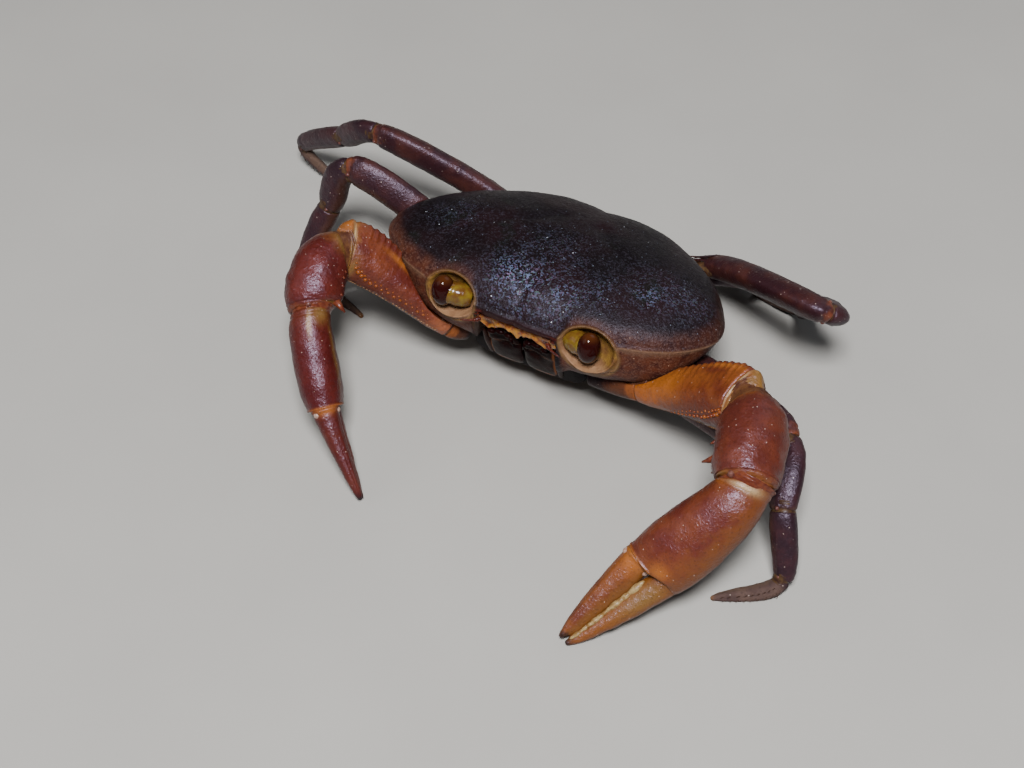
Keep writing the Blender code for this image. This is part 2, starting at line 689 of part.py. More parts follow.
def make_claw(name, materials):
    """The big front limb: base, merus, carpus, palm with its fixed finger, and the moving finger."""
    joints = [Vector(point) for point in LIMBS[name]]
    ways, through = joint_ways(joints)
    scale = CLAW_SCALE[name]
    ups = CLAW_UP[name]
    pieces = []
    for index, (piece, pull, rings, up, keel) in enumerate(
        (("base", 0.6, 5, "merus", 0.0), ("merus", 0.6, 8, "merus", 0.5), ("carpus", 0.9, 9, "carpus", 0.1))
    ):
        across = across_from_up(ways[index], ups[up])
        if piece == "merus":
            sections = MERUS_SECTIONS[name]
        else:
            sections = scaled(CLAW_SECTIONS[piece], scale if index else 1.0)
        if piece == "carpus":
            pull = CARPUS_PULL[name]
        place = limb_surface(joints, through, index, sections, across, pull, keel)
        bm = tube(CLAW_ROUND, rings)
        bend_tube(bm, place)
        # A sharp bend would push both pieces through the plane of the joint on its inner side
        if index:
            cut_flat(bm, joints[index] + through[index] * JOINT_TRIM, -through[index])
            cut_flat(bm, joints[index + 1] - through[index + 1] * JOINT_TRIM, through[index + 1])
        made = object_from(bm, f"{name}_{piece}", materials["claw"])
        if piece == "merus":
            beads = stud_row(place, BEADS_PER_ROW, 0.2, 0.7, MERUS_BEAD_ANGLE[name], BEAD_RADIUS, BEAD_PROUD)
            made = combine(made, beads, "UNION")
        if piece == "carpus":
            made = combine(made, [carpus_spine(name, place, through[3])], "UNION")
        pieces.append(clear_of_shell(made) if index < 2 else made)

    # The palm runs straight to the fingers' root, and the fixed finger grows from its lower half
    across = across_from_up(ways[3], ups["palm"])
    up = ways[3].cross(across)
    palm_bm = tube(CLAW_ROUND, 8)
    bend_tube(palm_bm, limb_surface(joints, through, 3, scaled(CLAW_SECTIONS["palm"], scale), across, 0.5))
    palm = object_from(palm_bm, f"{name}_palm", materials["claw"])
    tip_way = (joints[5] - joints[4]).normalized()
    tip_up = tip_way.cross(across_from_up(tip_way, ups["palm"]))
    spread = FINGER_SPREAD * scale
    finger_sections = scaled(CLAW_SECTIONS["finger"], scale)
    fixed_start = joints[4] - up * spread - through[4] * FINGER_SUNK
    fixed_end = joints[5] - tip_up * TIP_SPREAD
    fixed_way = (tip_way + tip_up * TIP_CURL).normalized()
    fixed_place = tube_surface(fixed_start, fixed_end, through[4], fixed_way, 0.6, finger_sections, across)
    teeth = stud_row(fixed_place, TEETH_PER_FINGER, 0.36, 0.84, TOOTH_ANGLE[name], TOOTH_RADIUS, TOOTH_PROUD)
    fixed_bm = tube(CLAW_ROUND, 8)
    bend_tube(fixed_bm, fixed_place)
    stand_on_floor(fixed_bm)
    pieces.append(combine(palm, [object_from(fixed_bm, "fixed_finger"), *teeth], "UNION"))
    moving_start = joints[4] + up * spread + through[4] * GAP / 2.0
    moving_end = joints[5] + tip_up * TIP_SPREAD
    moving_way = (tip_way - tip_up * TIP_CURL).normalized()
    moving_bm = tube(CLAW_ROUND, 8)
    bend_tube(
        moving_bm, tube_surface(moving_start, moving_end, through[4], moving_way, 0.6, finger_sections, across)
    )
    stand_on_floor(moving_bm)
    pieces.append(object_from(moving_bm, f"{name}_finger", materials["claw"]))
    return pieces


def carpus_spine(name, place, outwards):
    """The strong spine on the inner side of a claw's carpus."""
    t, angle, lean = CARPUS_SPINE_AT[name]
    root = place(t, math.radians(angle), SPINE_RADIUS)
    out = (place(t, math.radians(angle), -1.0) - place(t, math.radians(angle), 0.0)).normalized()
    way = out * math.sqrt(1.0 - lean * lean) + outwards * lean
    return stud(root, root + way.normalized() * (SPINE_LENGTH + SPINE_RADIUS), SPINE_RADIUS, 0.1)


def settle(root, objects):
    """Move the crab so that the middle of its box stands over the origin."""
    points = [vert.co for made in objects for vert in made.data.vertices]
    middle_x = (min(point.x for point in points) + max(point.x for point in points)) / 2.0
    middle_y = (min(point.y for point in points) + max(point.y for point in points)) / 2.0
    root.location = (-middle_x, -middle_y, 0.0)


def main():
    for old in list(bpy.data.objects):
        bpy.data.objects.remove(old)
    materials = make_materials()
    root = bpy.data.objects.new("crab", None)
    bpy.context.scene.collection.objects.link(root)
    made = [make_carapace(materials), make_thorax(materials), make_abdomen(materials), make_epistome(materials)]
    for side in (1, -1):
        made.append(make_maxilliped(side, materials))
        made.append(make_eye(side, materials))
        made.append(make_antenna(side, materials))
    for name in LIMBS:
        made.extend(make_claw(name, materials) if name.startswith("claw") else make_leg(name, materials))
    for piece in made:
        finish(piece, root)
    settle(root, made)


main()
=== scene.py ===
# %% [markdown]
# # A freshwater crab at life size
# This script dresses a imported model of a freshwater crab.  The solids give the true outline, and
# the pieces made here stand in their places with the surfaces of the living animal: a dark, finely
# grained shell, red claws, eyes in their sockets, wet mouthparts and pale joint skin.
# Everything is modelled in millimetres in the crab's own frame, where it looks along -Y.

import math
import random

import bmesh
import bpy
from mathutils import Matrix, Vector, noise
from mathutils.bvhtree import BVHTree


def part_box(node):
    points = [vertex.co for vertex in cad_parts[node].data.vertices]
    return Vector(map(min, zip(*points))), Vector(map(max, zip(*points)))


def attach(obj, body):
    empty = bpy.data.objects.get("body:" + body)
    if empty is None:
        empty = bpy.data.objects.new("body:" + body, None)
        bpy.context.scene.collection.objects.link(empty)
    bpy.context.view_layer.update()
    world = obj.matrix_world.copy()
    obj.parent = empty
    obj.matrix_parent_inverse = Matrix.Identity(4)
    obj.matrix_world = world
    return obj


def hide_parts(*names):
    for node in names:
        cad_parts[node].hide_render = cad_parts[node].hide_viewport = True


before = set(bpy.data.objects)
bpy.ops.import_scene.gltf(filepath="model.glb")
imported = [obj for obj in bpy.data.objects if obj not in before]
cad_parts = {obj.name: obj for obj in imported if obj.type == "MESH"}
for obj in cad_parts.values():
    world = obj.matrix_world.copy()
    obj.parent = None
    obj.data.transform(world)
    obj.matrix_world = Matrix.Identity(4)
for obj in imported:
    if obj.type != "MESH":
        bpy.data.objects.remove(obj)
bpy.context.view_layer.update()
print("packed solids:", len(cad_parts))

# %% [markdown]
# ## The crab's own frame
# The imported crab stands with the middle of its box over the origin, while its body's middle line
# is a little to one side, because the legs are bent unevenly.  Two solids whose places are known
# in the crab's own frame give the step between the two: the shell is even about the middle line,
# and the bar above the mouth has its front at a known place.  Pieces that meet stand a small gap
# apart, which is named here once for all of them.

# %% Step from the crab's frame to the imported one
MM = 0.001
GAP = 0.3
EPISTOME_FRONT = -13.3
shell_low, shell_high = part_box("carapace")
mouth_low, mouth_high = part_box("epistome")
step = Vector(((shell_low.x + shell_high.x) / 2.0, mouth_low.y - EPISTOME_FRONT * MM, 0.0))
TO_ROW = Matrix.Translation(step) @ Matrix.Scale(MM, 4)
print("step in mm:", [round(value / MM, 2) for value in step])

# %% [markdown]
# ## Camera
# The photo looks down at the crab from in front and from its left.  The camera could be aimed with
# a constraint, but then the framing would need a lens shift.  Moving it sideways instead keeps
# the shift at nothing: one point of the body is put at its own pixel of the photo's frame.

# %% Place the camera
CAMERA_AZIMUTH = 28.0
CAMERA_ELEVATION = 47.0
CAMERA_DISTANCE = 263.0
LENS = 70.0
SENSOR = 36.0
FRAME_WIDTH, FRAME_HEIGHT = 1024, 768
AIM = Vector((0.0, 0.0, 22.0))
AIM_PIXEL = (563.8, 231.3)


def direction(azimuth, elevation):
    """The way from the crab to an azimuth and an elevation, both in degrees."""
    turn, rise = math.radians(azimuth), math.radians(elevation)
    return Vector((math.sin(turn) * math.cos(rise), -math.cos(turn) * math.cos(rise), math.sin(rise)))


backward = direction(CAMERA_AZIMUTH, CAMERA_ELEVATION)
rightward = direction(CAMERA_AZIMUTH + 90.0, 0.0)
upward = backward.cross(rightward)
mm_per_pixel = CAMERA_DISTANCE * SENSOR / (LENS * FRAME_WIDTH)
camera_place = (
    AIM
    + backward * CAMERA_DISTANCE
    - rightward * (AIM_PIXEL[0] - FRAME_WIDTH / 2.0) * mm_per_pixel
    + upward * (AIM_PIXEL[1] - FRAME_HEIGHT / 2.0) * mm_per_pixel
)
camera = bpy.data.objects.new("camera", bpy.data.cameras.new("camera"))
bpy.context.scene.collection.objects.link(camera)
camera.data.lens = LENS
camera.data.sensor_width = SENSOR
camera.data.clip_start = 0.01
turn = Matrix((rightward, upward, backward)).transposed().to_4x4()
camera.matrix_world = Matrix.Translation(TO_ROW @ camera_place) @ turn
bpy.context.scene.camera = camera
print("one pixel is", round(mm_per_pixel, 3), "mm at the crab")

# %% [markdown]
# ## Nodes in a few words
# Each finish below is a small tree of shader nodes.  Making every node by hand takes three lines,
# so short helpers do it.  They add a node, mix two colours, turn a value into a soft step, and lay
# clouds, round dots or packed grains of a given size.  The last ones read a number that the mesh
# carries, start a finish, join its colour, vary its gloss and raise grains on it.

# %% Helpers for the finishes
GRAIN_RADIUS = 0.5
GRAIN_STRENGTH = 0.9


def add(tree, kind, inputs=None, **settings):
    """Add a shader node, set its settings, and join or set its inputs by name."""
    made = tree.nodes.new("ShaderNode" + kind)
    for name, value in settings.items():
        setattr(made, name, value)
    for name, value in (inputs or {}).items():
        if isinstance(value, bpy.types.NodeSocket):
            tree.links.new(value, made.inputs[name])
        else:
            made.inputs[name].default_value = value
    return made


def mix(tree, share, first, second, way="MIX"):
    """Mix two colours, each a colour or a socket, by a share."""
    made = add(tree, "Mix", data_type="RGBA", blend_type=way)
    for socket, value in zip((made.inputs[0], made.inputs[6], made.inputs[7]), (share, first, second)):
        if isinstance(value, bpy.types.NodeSocket):
            tree.links.new(value, socket)
        else:
            socket.default_value = value if isinstance(value, float) else (*value, 1.0)
    return made.outputs[2]


def between(tree, value, low, high):
    """A soft step: 0 where the value is low, 1 where it is high."""
    limits = {"Value": value, "From Min": low, "From Max": high}
    return add(tree, "MapRange", limits, interpolation_type="SMOOTHSTEP").outputs["Result"]


def times(tree, first, second):
    """The product of two values."""
    return add(tree, "Math", {0: first, 1: second}, operation="MULTIPLY").outputs[0]


def plus(tree, first, second):
    """The sum of two values."""
    return add(tree, "Math", {0: first, 1: second}, operation="ADD").outputs[0]


def cloud(tree, place, spacing_mm, detail=3.0):
    """Soft irregular patches of a given size, from 0 to 1."""
    inputs = {"Vector": place, "Scale": 1.0 / (spacing_mm * MM), "Detail": detail}
    return add(tree, "TexNoise", inputs).outputs["Fac"]


def mottled(tree, place, spacing_mm, first, second, limits=(0.35, 0.65), detail=3.0):
    """Two colours in soft patches of a given size."""
    return mix(tree, between(tree, cloud(tree, place, spacing_mm, detail), *limits), first, second)


def cells(tree, place, spacing_mm, **settings):
    """Round cells of a given size, scattered in space."""
    return add(tree, "TexVoronoi", {"Vector": place, "Scale": 1.0 / (spacing_mm * MM)}, **settings)


def pebbles(tree, place, spacing_mm):
    """Cells like packed grains, with two random numbers for each."""
    grains = cells(tree, place, spacing_mm)
    picks = add(tree, "SeparateColor", {"Color": grains.outputs["Color"]})
    return picks.outputs["Red"], picks.outputs["Green"]


def dots(tree, place, spacing_mm, radius, share):
    """Small round dots in a share of the cells of a given size."""
    spots = cells(tree, place, spacing_mm)
    pick = add(tree, "SeparateColor", {"Color": spots.outputs["Color"]}).outputs["Red"]
    chosen = between(tree, pick, 1.0 - share, 1.02 - share)
    return times(tree, between(tree, spots.outputs["Distance"], radius, radius * 0.4), chosen)


def share_of(tree, name):
    """A number that the mesh carries at each point."""
    return add(tree, "Attribute", attribute_name=name).outputs["Fac"]


def new_finish(name, roughness, mirror=0.25, tint=(0.90, 0.86, 1.0)):
    """A material with its shader, its node tree and the place in the crab's frame."""
    finish = bpy.data.materials.new(name)
    finish.use_nodes = True
    tree = finish.node_tree
    shader = tree.nodes["Principled BSDF"]
    shader.inputs["Roughness"].default_value = roughness
    shader.inputs["Specular IOR Level"].default_value = mirror
    shader.inputs["Specular Tint"].default_value = (*tint, 1.0)
    return finish, tree, shader, add(tree, "TexCoord").outputs["Object"]


def paint(tree, shader, colour):
    """Join a colour to the shader."""
    tree.links.new(colour, shader.inputs["Base Color"])


def vary_gloss(tree, shader, place, spacing_mm, low, high):
    """Let the roughness wander softly between two values."""
    value = cloud(tree, place, spacing_mm, 4.0)
    gloss = add(tree, "MapRange", {"Value": value, "To Min": low, "To Max": high})
    tree.links.new(gloss.outputs["Result"], shader.inputs["Roughness"])


def grain(tree, shader, place, spacing_mm, depth_mm, normal=None):
    """Raise a carpet of small round grains on a surface."""
    grains = cells(tree, place, spacing_mm, feature="SMOOTH_F1")
    height = between(tree, grains.outputs["Distance"], GRAIN_RADIUS, 0.0)
    inputs = {"Height": height, "Distance": depth_mm * MM, "Strength": GRAIN_STRENGTH}
    if normal:
        inputs["Normal"] = normal
    raised = add(tree, "Bump", inputs).outputs["Normal"]
    tree.links.new(raised, shader.inputs["Normal"])
    return raised


print("helpers ready")

# %% [markdown]
# ## Finish of the shell
# The living shell is almost black, with a purple cast and countless fine grains.  Those close
# behind the brow carry a painted highlight in blue, violet and a little green, grain by grain,
# where the light glances off them, and a thin painted shadow line runs along the brow's underside.
# The flanks are reddish brown, and the lips of the eye sockets are tan.  A painted picture could
# hold all this, but it would stretch over the dome.  Numbers carried by the mesh say where the lip,
# the socket, the flank, the brow, the painted highlight and the painted shadow are, and noise in the
# crab's own frame does the rest.

# %% Shell finish
INK = (0.0034, 0.0018, 0.0020)
PLUM = (0.0095, 0.0032, 0.0038)
MOSS = (0.0042, 0.0048, 0.0030)
# Colours of the painted highlight on the grains behind the brow.
PAINTED_SHEEN_BLUE = (0.090, 0.110, 0.200)
PAINTED_SHEEN_GREEN = (0.070, 0.120, 0.120)
PAINTED_SHEEN_VIOLET = (0.120, 0.075, 0.140)
FLANK_BROWN = (0.070, 0.020, 0.0095)
FLANK_DARK = (0.030, 0.008, 0.006)
LIP_TAN = (0.150, 0.085, 0.033)
SOCKET_ROOF = (0.160, 0.085, 0.018)
SOCKET_FLOOR = (0.215, 0.118, 0.062)
BROW_MAROON = (0.012, 0.0028, 0.0030)
GRAIN_GREY = (0.030, 0.026, 0.034)
GLINT_BLUE = (0.11, 0.13, 0.17)
GLINT_PALE = (0.50, 0.52, 0.58)
FLANK_GRAIN = (0.130, 0.062, 0.040)
FLANK_GLINT = (0.32, 0.20, 0.13)
RIDGE_TAN = (0.26, 0.15, 0.09)
# Painted shadow: a thin red line along the brow's underside, over the bar.
SEAM_SHADE_RED = (0.150, 0.018, 0.009)
LIP_BROWN = (0.12, 0.065, 0.025)
ROOF_BROWN = (0.09, 0.040, 0.014)
FLOOR_BROWN = (0.16, 0.08, 0.04)

shell_finish, tree, shader, place = new_finish("shell_dark", 0.5, 0.18, (0.80, 0.80, 1.0))
ground = mottled(tree, place, 9.0, INK, PLUM)
ground = mottled(tree, place, 5.0, ground, MOSS, (0.58, 0.75))
light, hue = pebbles(tree, place, 0.20)
ground = mix(tree, times(tree, between(tree, light, 0.55, 1.0), 0.35), ground, GRAIN_GREY)
# Painted highlight: in the patches behind the brow, grains are lit blue, green and violet.
painted_shine = mix(tree, between(tree, hue, 0.70, 0.95), PAINTED_SHEEN_BLUE, PAINTED_SHEEN_GREEN)
painted_shine = mix(tree, between(tree, hue, 0.40, 0.15), painted_shine, PAINTED_SHEEN_VIOLET)
patches = between(tree, cloud(tree, place, 1.4, 5.0), 0.30, 0.56)
lit_grains = times(tree, between(tree, light, 0.38, 0.95), patches)
ground = mix(tree, times(tree, share_of(tree, "painted_sheen"), lit_grains), ground, painted_shine)
ground = mix(tree, dots(tree, place, 0.40, 0.26, 0.09), ground, GLINT_BLUE)
ground = mix(tree, dots(tree, place, 1.1, 0.10, 0.14), ground, GLINT_PALE)
flank = mottled(tree, place, 1.6, FLANK_BROWN, FLANK_DARK, (0.35, 0.7), 4.0)
flank = mix(tree, times(tree, between(tree, light, 0.5, 1.0), 0.5), flank, FLANK_GRAIN)
flank = mix(tree, dots(tree, place, 0.5, 0.20, 0.07), flank, FLANK_GLINT)
lip = mottled(tree, place, 0.7, LIP_TAN, LIP_BROWN, (0.35, 0.7), 4.0)
roof = mottled(tree, place, 1.1, SOCKET_ROOF, ROOF_BROWN)
hollow = mottled(tree, place, 0.9, SOCKET_FLOOR, FLOOR_BROWN, (0.35, 0.70))
for mark, colour in (
    ("flank", flank),
    ("ridge", RIDGE_TAN),
    ("brow", BROW_MAROON),
    ("seam_shade", SEAM_SHADE_RED),
    ("lip", lip),
    ("socket", mix(tree, share_of(tree, "low"), roof, hollow)),
):
    ground = mix(tree, share_of(tree, mark), ground, colour)
paint(tree, shader, ground)
vary_gloss(tree, shader, place, 0.6, 0.36, 0.64)
coarse = grain(tree, shader, place, 0.36, 0.040)
grain(tree, shader, place, 0.15, 0.022, coarse)
print("finish:", shell_finish.name)

# %% [markdown]
# ## Finishes of the limbs
# The claws are brick red to maroon with a violet gloss, the upper arms run from orange near the
# shell to red brown, and the walking legs are a dark purple.  They are one kind of skin with
# different pigments, so one function makes them all: two colours in soft patches, a third on the
# underside, a fourth and a fifth at the two ends, and fine grains that break up the gloss.  Ochre,
# olive, cream and dark patches lie where the mesh carries numbers for them.  A row of the table
# names the piece, the claw and the finish, then the five colours, and last the places along the
# piece where the outer end starts and the root stops.

# %% Limb finishes
PATCH_COLOURS = {
    "ochre": (0.230, 0.070, 0.010),
    "olive": (0.130, 0.066, 0.015),
    "cream": (0.320, 0.220, 0.110),
    "dusk": (0.018, 0.010, 0.007),
}
GRAIN_LIGHT = (0.42, 0.40, 0.40)
GRAIN_DARK = (0.0, 0.0, 0.0)
SPECK_PALE = (0.60, 0.48, 0.42)
CLAW_GLOSS = (0.28, 0.54)
LEG_GLOSS = (0.32, 0.55)
FELT_GLOSS = (0.75, 0.95)
BASE_MIRROR = 0.15


def limb_finish(name, deep, warm, under, ends, roots, ends_from, roots_to, rough=CLAW_GLOSS):
    """A pigmented, finely grained shell for one kind of limb piece."""
    finish, tree, shader, place = new_finish(name, 0.4, 0.40, (0.86, 0.74, 1.0))
    ground = mottled(tree, place, 3.0, deep, warm, (0.36, 0.66), 4.0)
    ragged = plus(tree, cloud(tree, place, 1.4, 3.0), -0.5)
    height = plus(tree, share_of(tree, "height"), ragged)
    ground = mix(tree, between(tree, height, 0.05, -0.75), ground, under)
    along = plus(tree, share_of(tree, "along"), times(tree, ragged, 0.25))
    ground = mix(tree, between(tree, along, ends_from - 0.04, ends_from + 0.05), ground, ends)
    if roots:
        ground = mix(tree, between(tree, along, roots_to + 0.12, roots_to - 0.12), ground, roots)
    for patch, colour in PATCH_COLOURS.items():
        ground = mix(tree, share_of(tree, patch), ground, colour)
    light, _ = pebbles(tree, place, 0.22)
    pale_grains = times(tree, between(tree, light, 0.3, 1.0), 0.30)
    ground = mix(tree, pale_grains, ground, GRAIN_LIGHT, "SOFT_LIGHT")
    dark_grains = times(tree, between(tree, light, 0.25, 0.0), 0.25)
    ground = mix(tree, dark_grains, ground, GRAIN_DARK)
    speck = mix(tree, 0.5, ground, SPECK_PALE)
    ground = mix(tree, dots(tree, place, 0.42, 0.22, 0.10), ground, speck)
    paint(tree, shader, ground)
    vary_gloss(tree, shader, place, 0.5, *rough)
    coarse = grain(tree, shader, place, 0.40, 0.034)
    grain(tree, shader, place, 0.16, 0.020, coarse)
    return finish


CLAW_PIGMENTS = (
    ("arm", "claw_left", "left_arm_orange", (0.0819, 0.0158, 0.0050), (0.1404, 0.0374, 0.0066),
     (0.0663, 0.0158, 0.0055), (0.1716, 0.0828, 0.0165), (0.2262, 0.0612, 0.0066), 0.91, 0.30),
    ("arm", "claw_right", "right_arm_brick", (0.0702, 0.0108, 0.0050), (0.1170, 0.0259, 0.0072),
     (0.0780, 0.0187, 0.0083), (0.1404, 0.0504, 0.0110), (0.2028, 0.0612, 0.0220), 0.86, 0.18),
    ("wrist", "claw_left", "left_wrist_brick", (0.0663, 0.0130, 0.0072), (0.0936, 0.0202, 0.0083),
     (0.0702, 0.0158, 0.0066), (0.1326, 0.0432, 0.0121), (0.1326, 0.0396, 0.0088), 0.95, 0.06),
    ("wrist", "claw_right", "right_wrist_maroon", (0.0546, 0.0072, 0.0050), (0.0819, 0.0122, 0.0072),
     (0.0780, 0.0158, 0.0060), (0.1014, 0.0252, 0.0077), (0.1248, 0.0432, 0.0099), 0.95, 0.10),
    ("hand", "claw_left", "left_hand_brick", (0.0741, 0.0130, 0.0066), (0.1053, 0.0245, 0.0083),
     (0.1170, 0.0360, 0.0055), (0.1404, 0.0446, 0.0066), (0.1092, 0.0302, 0.0083), 0.52, 0.06),
    ("hand", "claw_right", "right_hand_maroon", (0.0484, 0.0047, 0.0034), (0.0624, 0.0072, 0.0044),
     (0.0663, 0.0101, 0.0041), (0.0780, 0.0130, 0.0055), (0.0780, 0.0144, 0.0055), 0.60, 0.06),
    ("finger", "claw_left", "left_finger_ochre", (0.0858, 0.0202, 0.0050), (0.1326, 0.0396, 0.0077),
     (0.1170, 0.0432, 0.0077), (0.0125, 0.0058, 0.0028), (0.1872, 0.0720, 0.0121), 0.93, 0.10),
    ("finger", "claw_right", "right_finger_maroon", (0.0546, 0.0072, 0.0041), (0.0780, 0.0144, 0.0060),
     (0.0546, 0.0158, 0.0044), (0.0125, 0.0043, 0.0028), (0.1170, 0.0324, 0.0077), 0.93, 0.03),
)
claw_finishes = {}
for piece, claw, *pigments in CLAW_PIGMENTS:
    claw_finishes[piece, claw] = limb_finish(*pigments)
thigh_finish = limb_finish(
    "thigh_dark", (0.020, 0.0055, 0.0070), (0.042, 0.012, 0.0090),
    (0.055, 0.020, 0.010), (0.120, 0.030, 0.010), None, 0.965, 0.1, LEG_GLOSS,
)
shin_finish = limb_finish(
    "shin_dark", (0.015, 0.0050, 0.0075), (0.030, 0.0090, 0.0100),
    (0.040, 0.016, 0.010), (0.040, 0.018, 0.010), None, 0.97, 0.1, LEG_GLOSS,
)
# Painted shade: the bases turn near black towards the root, under the shell.
base_finish = limb_finish(
    "limb_base_brown_painted_shade", (0.045, 0.013, 0.007), (0.075, 0.024, 0.010),
    (0.060, 0.022, 0.010), (0.150, 0.045, 0.012), (0.012, 0.004, 0.003), 0.80, 0.40,
)
base_finish.node_tree.nodes["Principled BSDF"].inputs["Specular IOR Level"].default_value = BASE_MIRROR
print("claw finishes:", len(claw_finishes))

# %% [markdown]
# ## Finishes of the small wet parts
# Joint skin is a dull brown membrane, the beads are reddish orange, the teeth are cream, and the
# toes are felted grey brown with hard tips.  The mouth plates are nearly black with a thin pale
# rim, and the eyes are nearly black maroon with an amber top.  Each is a small tree of its own,
# because their glosses differ more than their colours do.

# %% Small finishes
def simple_finish(name, first, second, spacing_mm, roughness, mirror=0.25):
    """Two colours in soft patches over a slightly uneven surface."""
    finish, tree, shader, place = new_finish(name, roughness, mirror)
    paint(tree, shader, mottled(tree, place, spacing_mm, first, second, (0.35, 0.68), 4.0))
    grain(tree, shader, place, spacing_mm * 0.35, 0.015)
    return finish

skin_finish = simple_finish("joint_skin", (0.085, 0.034, 0.013), (0.045, 0.014, 0.008), 0.8, 0.42)
leg_skin_finish = simple_finish("leg_joint_skin", (0.060, 0.032, 0.012), (0.025, 0.010, 0.007), 0.6, 0.45)
knob_finish = simple_finish("joint_knob", (0.110, 0.045, 0.034), (0.060, 0.018, 0.015), 0.5, 0.34)
pale_knob_finish = simple_finish("finger_knob", (0.34, 0.24, 0.20), (0.20, 0.10, 0.07), 0.5, 0.30)
bead_finish = simple_finish("bead_orange", (0.180, 0.050, 0.008), (0.110, 0.020, 0.006), 0.9, 0.30)
rim_finish = simple_finish("arm_rim_tan", (0.200, 0.110, 0.055), (0.100, 0.040, 0.018), 0.6, 0.42)
denticle_finish = simple_finish("denticle_red", (0.120, 0.030, 0.012), (0.070, 0.014, 0.008), 0.6, 0.30)
tooth_finish = simple_finish("tooth_cream", (0.270, 0.190, 0.085), (0.150, 0.080, 0.024), 0.6, 0.38)
spinule_finish = simple_finish("spinule_dark", (0.050, 0.026, 0.017), (0.030, 0.015, 0.010), 0.5, 0.40)
feeler_finish = simple_finish("feeler_red", (0.070, 0.012, 0.005), (0.035, 0.006, 0.004), 0.5, 0.28)
whip_finish = simple_finish("mouth_whip_dark", (0.020, 0.006, 0.004), (0.009, 0.003, 0.002), 0.5, 0.30, 0.05)
toe_finish = limb_finish(
    "toe_felt", (0.040, 0.022, 0.016), (0.065, 0.038, 0.026),
    (0.070, 0.042, 0.026), (0.130, 0.060, 0.020), (0.022, 0.010, 0.009), 0.95, 0.06, FELT_GLOSS,
)

breast_finish, tree, shader, place = new_finish("breast_ochre", 0.55, 0.12)
ochre = mottled(tree, place, 2.2, (0.150, 0.070, 0.028), (0.085, 0.034, 0.016), (0.35, 0.68), 4.0)
# Painted shade: the breastplate's front, near the mouth, is near black.
paint(tree, shader, mix(tree, share_of(tree, "shade"), ochre, (0.004, 0.0018, 0.0018)))
grain(tree, shader, place, 0.7, 0.03)

stalk_finish, tree, shader, place = new_finish("stalk_olive", 0.20, 0.35)
olive = mottled(tree, place, 1.4, (0.135, 0.088, 0.009), (0.085, 0.036, 0.007), (0.35, 0.65), 2.0)
paint(tree, shader, olive)
grain(tree, shader, place, 0.3, 0.02)

bar_finish, tree, shader, place = new_finish("mouth_bar_orange", 0.22, 0.45)
wet = mottled(tree, place, 0.7, (0.360, 0.150, 0.011), (0.190, 0.040, 0.005), (0.38, 0.66), 4.0)
# Painted shadow: the top strip, under the brow, is dark red.
wet = mix(tree, share_of(tree, "upper"), wet, (0.085, 0.010, 0.006))
# Painted shade: the pits are near black.
paint(tree, shader, mix(tree, share_of(tree, "pit"), wet, (0.030, 0.004, 0.003)))
grain(tree, shader, place, 0.3, 0.03)

plate_finish, tree, shader, place = new_finish("mouth_plate_brown", 0.24, 0.03, (1.0, 0.8, 0.85))
brown = mottled(tree, place, 1.1, (0.0042, 0.0009, 0.0013), (0.0090, 0.0018, 0.0016), (0.35, 0.7), 4.0)
paint(tree, shader, mix(tree, share_of(tree, "rim"), brown, (0.170, 0.055, 0.018)))
grain(tree, shader, place, 0.35, 0.02)

FACET_SIZE = 0.07
FACET_DEPTH = 0.003
eye_finish, tree, shader, place = new_finish("eye_maroon", 0.09, 0.16, (1.0, 0.9, 0.9))
paint(tree, shader, mix(tree, share_of(tree, "top"), (0.016, 0.0024, 0.0022), (0.048, 0.014, 0.004)))
height = cells(tree, place, FACET_SIZE).outputs["Distance"]
raised = add(tree, "Bump", {"Height": height, "Distance": FACET_DEPTH * MM, "Strength": 0.3})
tree.links.new(raised.outputs["Normal"], shader.inputs["Normal"])
print("small finishes ready")

# %% [markdown]
# ## From a mesh to a finished piece
# Every piece ends the same way: its faces are turned outwards, it is scaled to metres and moved to
# its place inside its mesh, and it is tied to the body.  A piece that stands for a solid hides it.

# %% Turn a mesh into a piece
made_pieces = []


def finish_piece(bm, name, finish, solid=None):
    """Close up a mesh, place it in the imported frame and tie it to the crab's body."""
    bmesh.ops.recalc_face_normals(bm, faces=bm.faces[:])
    if bm.calc_volume(signed=True) < 0.0:
        bmesh.ops.reverse_faces(bm, faces=bm.faces[:])
    mesh = bpy.data.meshes.new(name)
    bm.to_mesh(mesh)
    bm.free()
    mesh.transform(TO_ROW)
    mesh.shade_smooth()
    mesh.materials.append(finish)
    piece = bpy.data.objects.new(name, mesh)
    bpy.context.scene.collection.objects.link(piece)
    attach(piece, "root")
    if solid:
        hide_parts(solid)
    made_pieces.append(piece)
    return piece


print("pieces so far:", len(made_pieces))

# %% [markdown]
# ## Curves through a few named places
# A limb's thickness and the shell's outline are given at a few places.  A straight line between
# them would show kinks, so a smooth curve is laid through them instead.

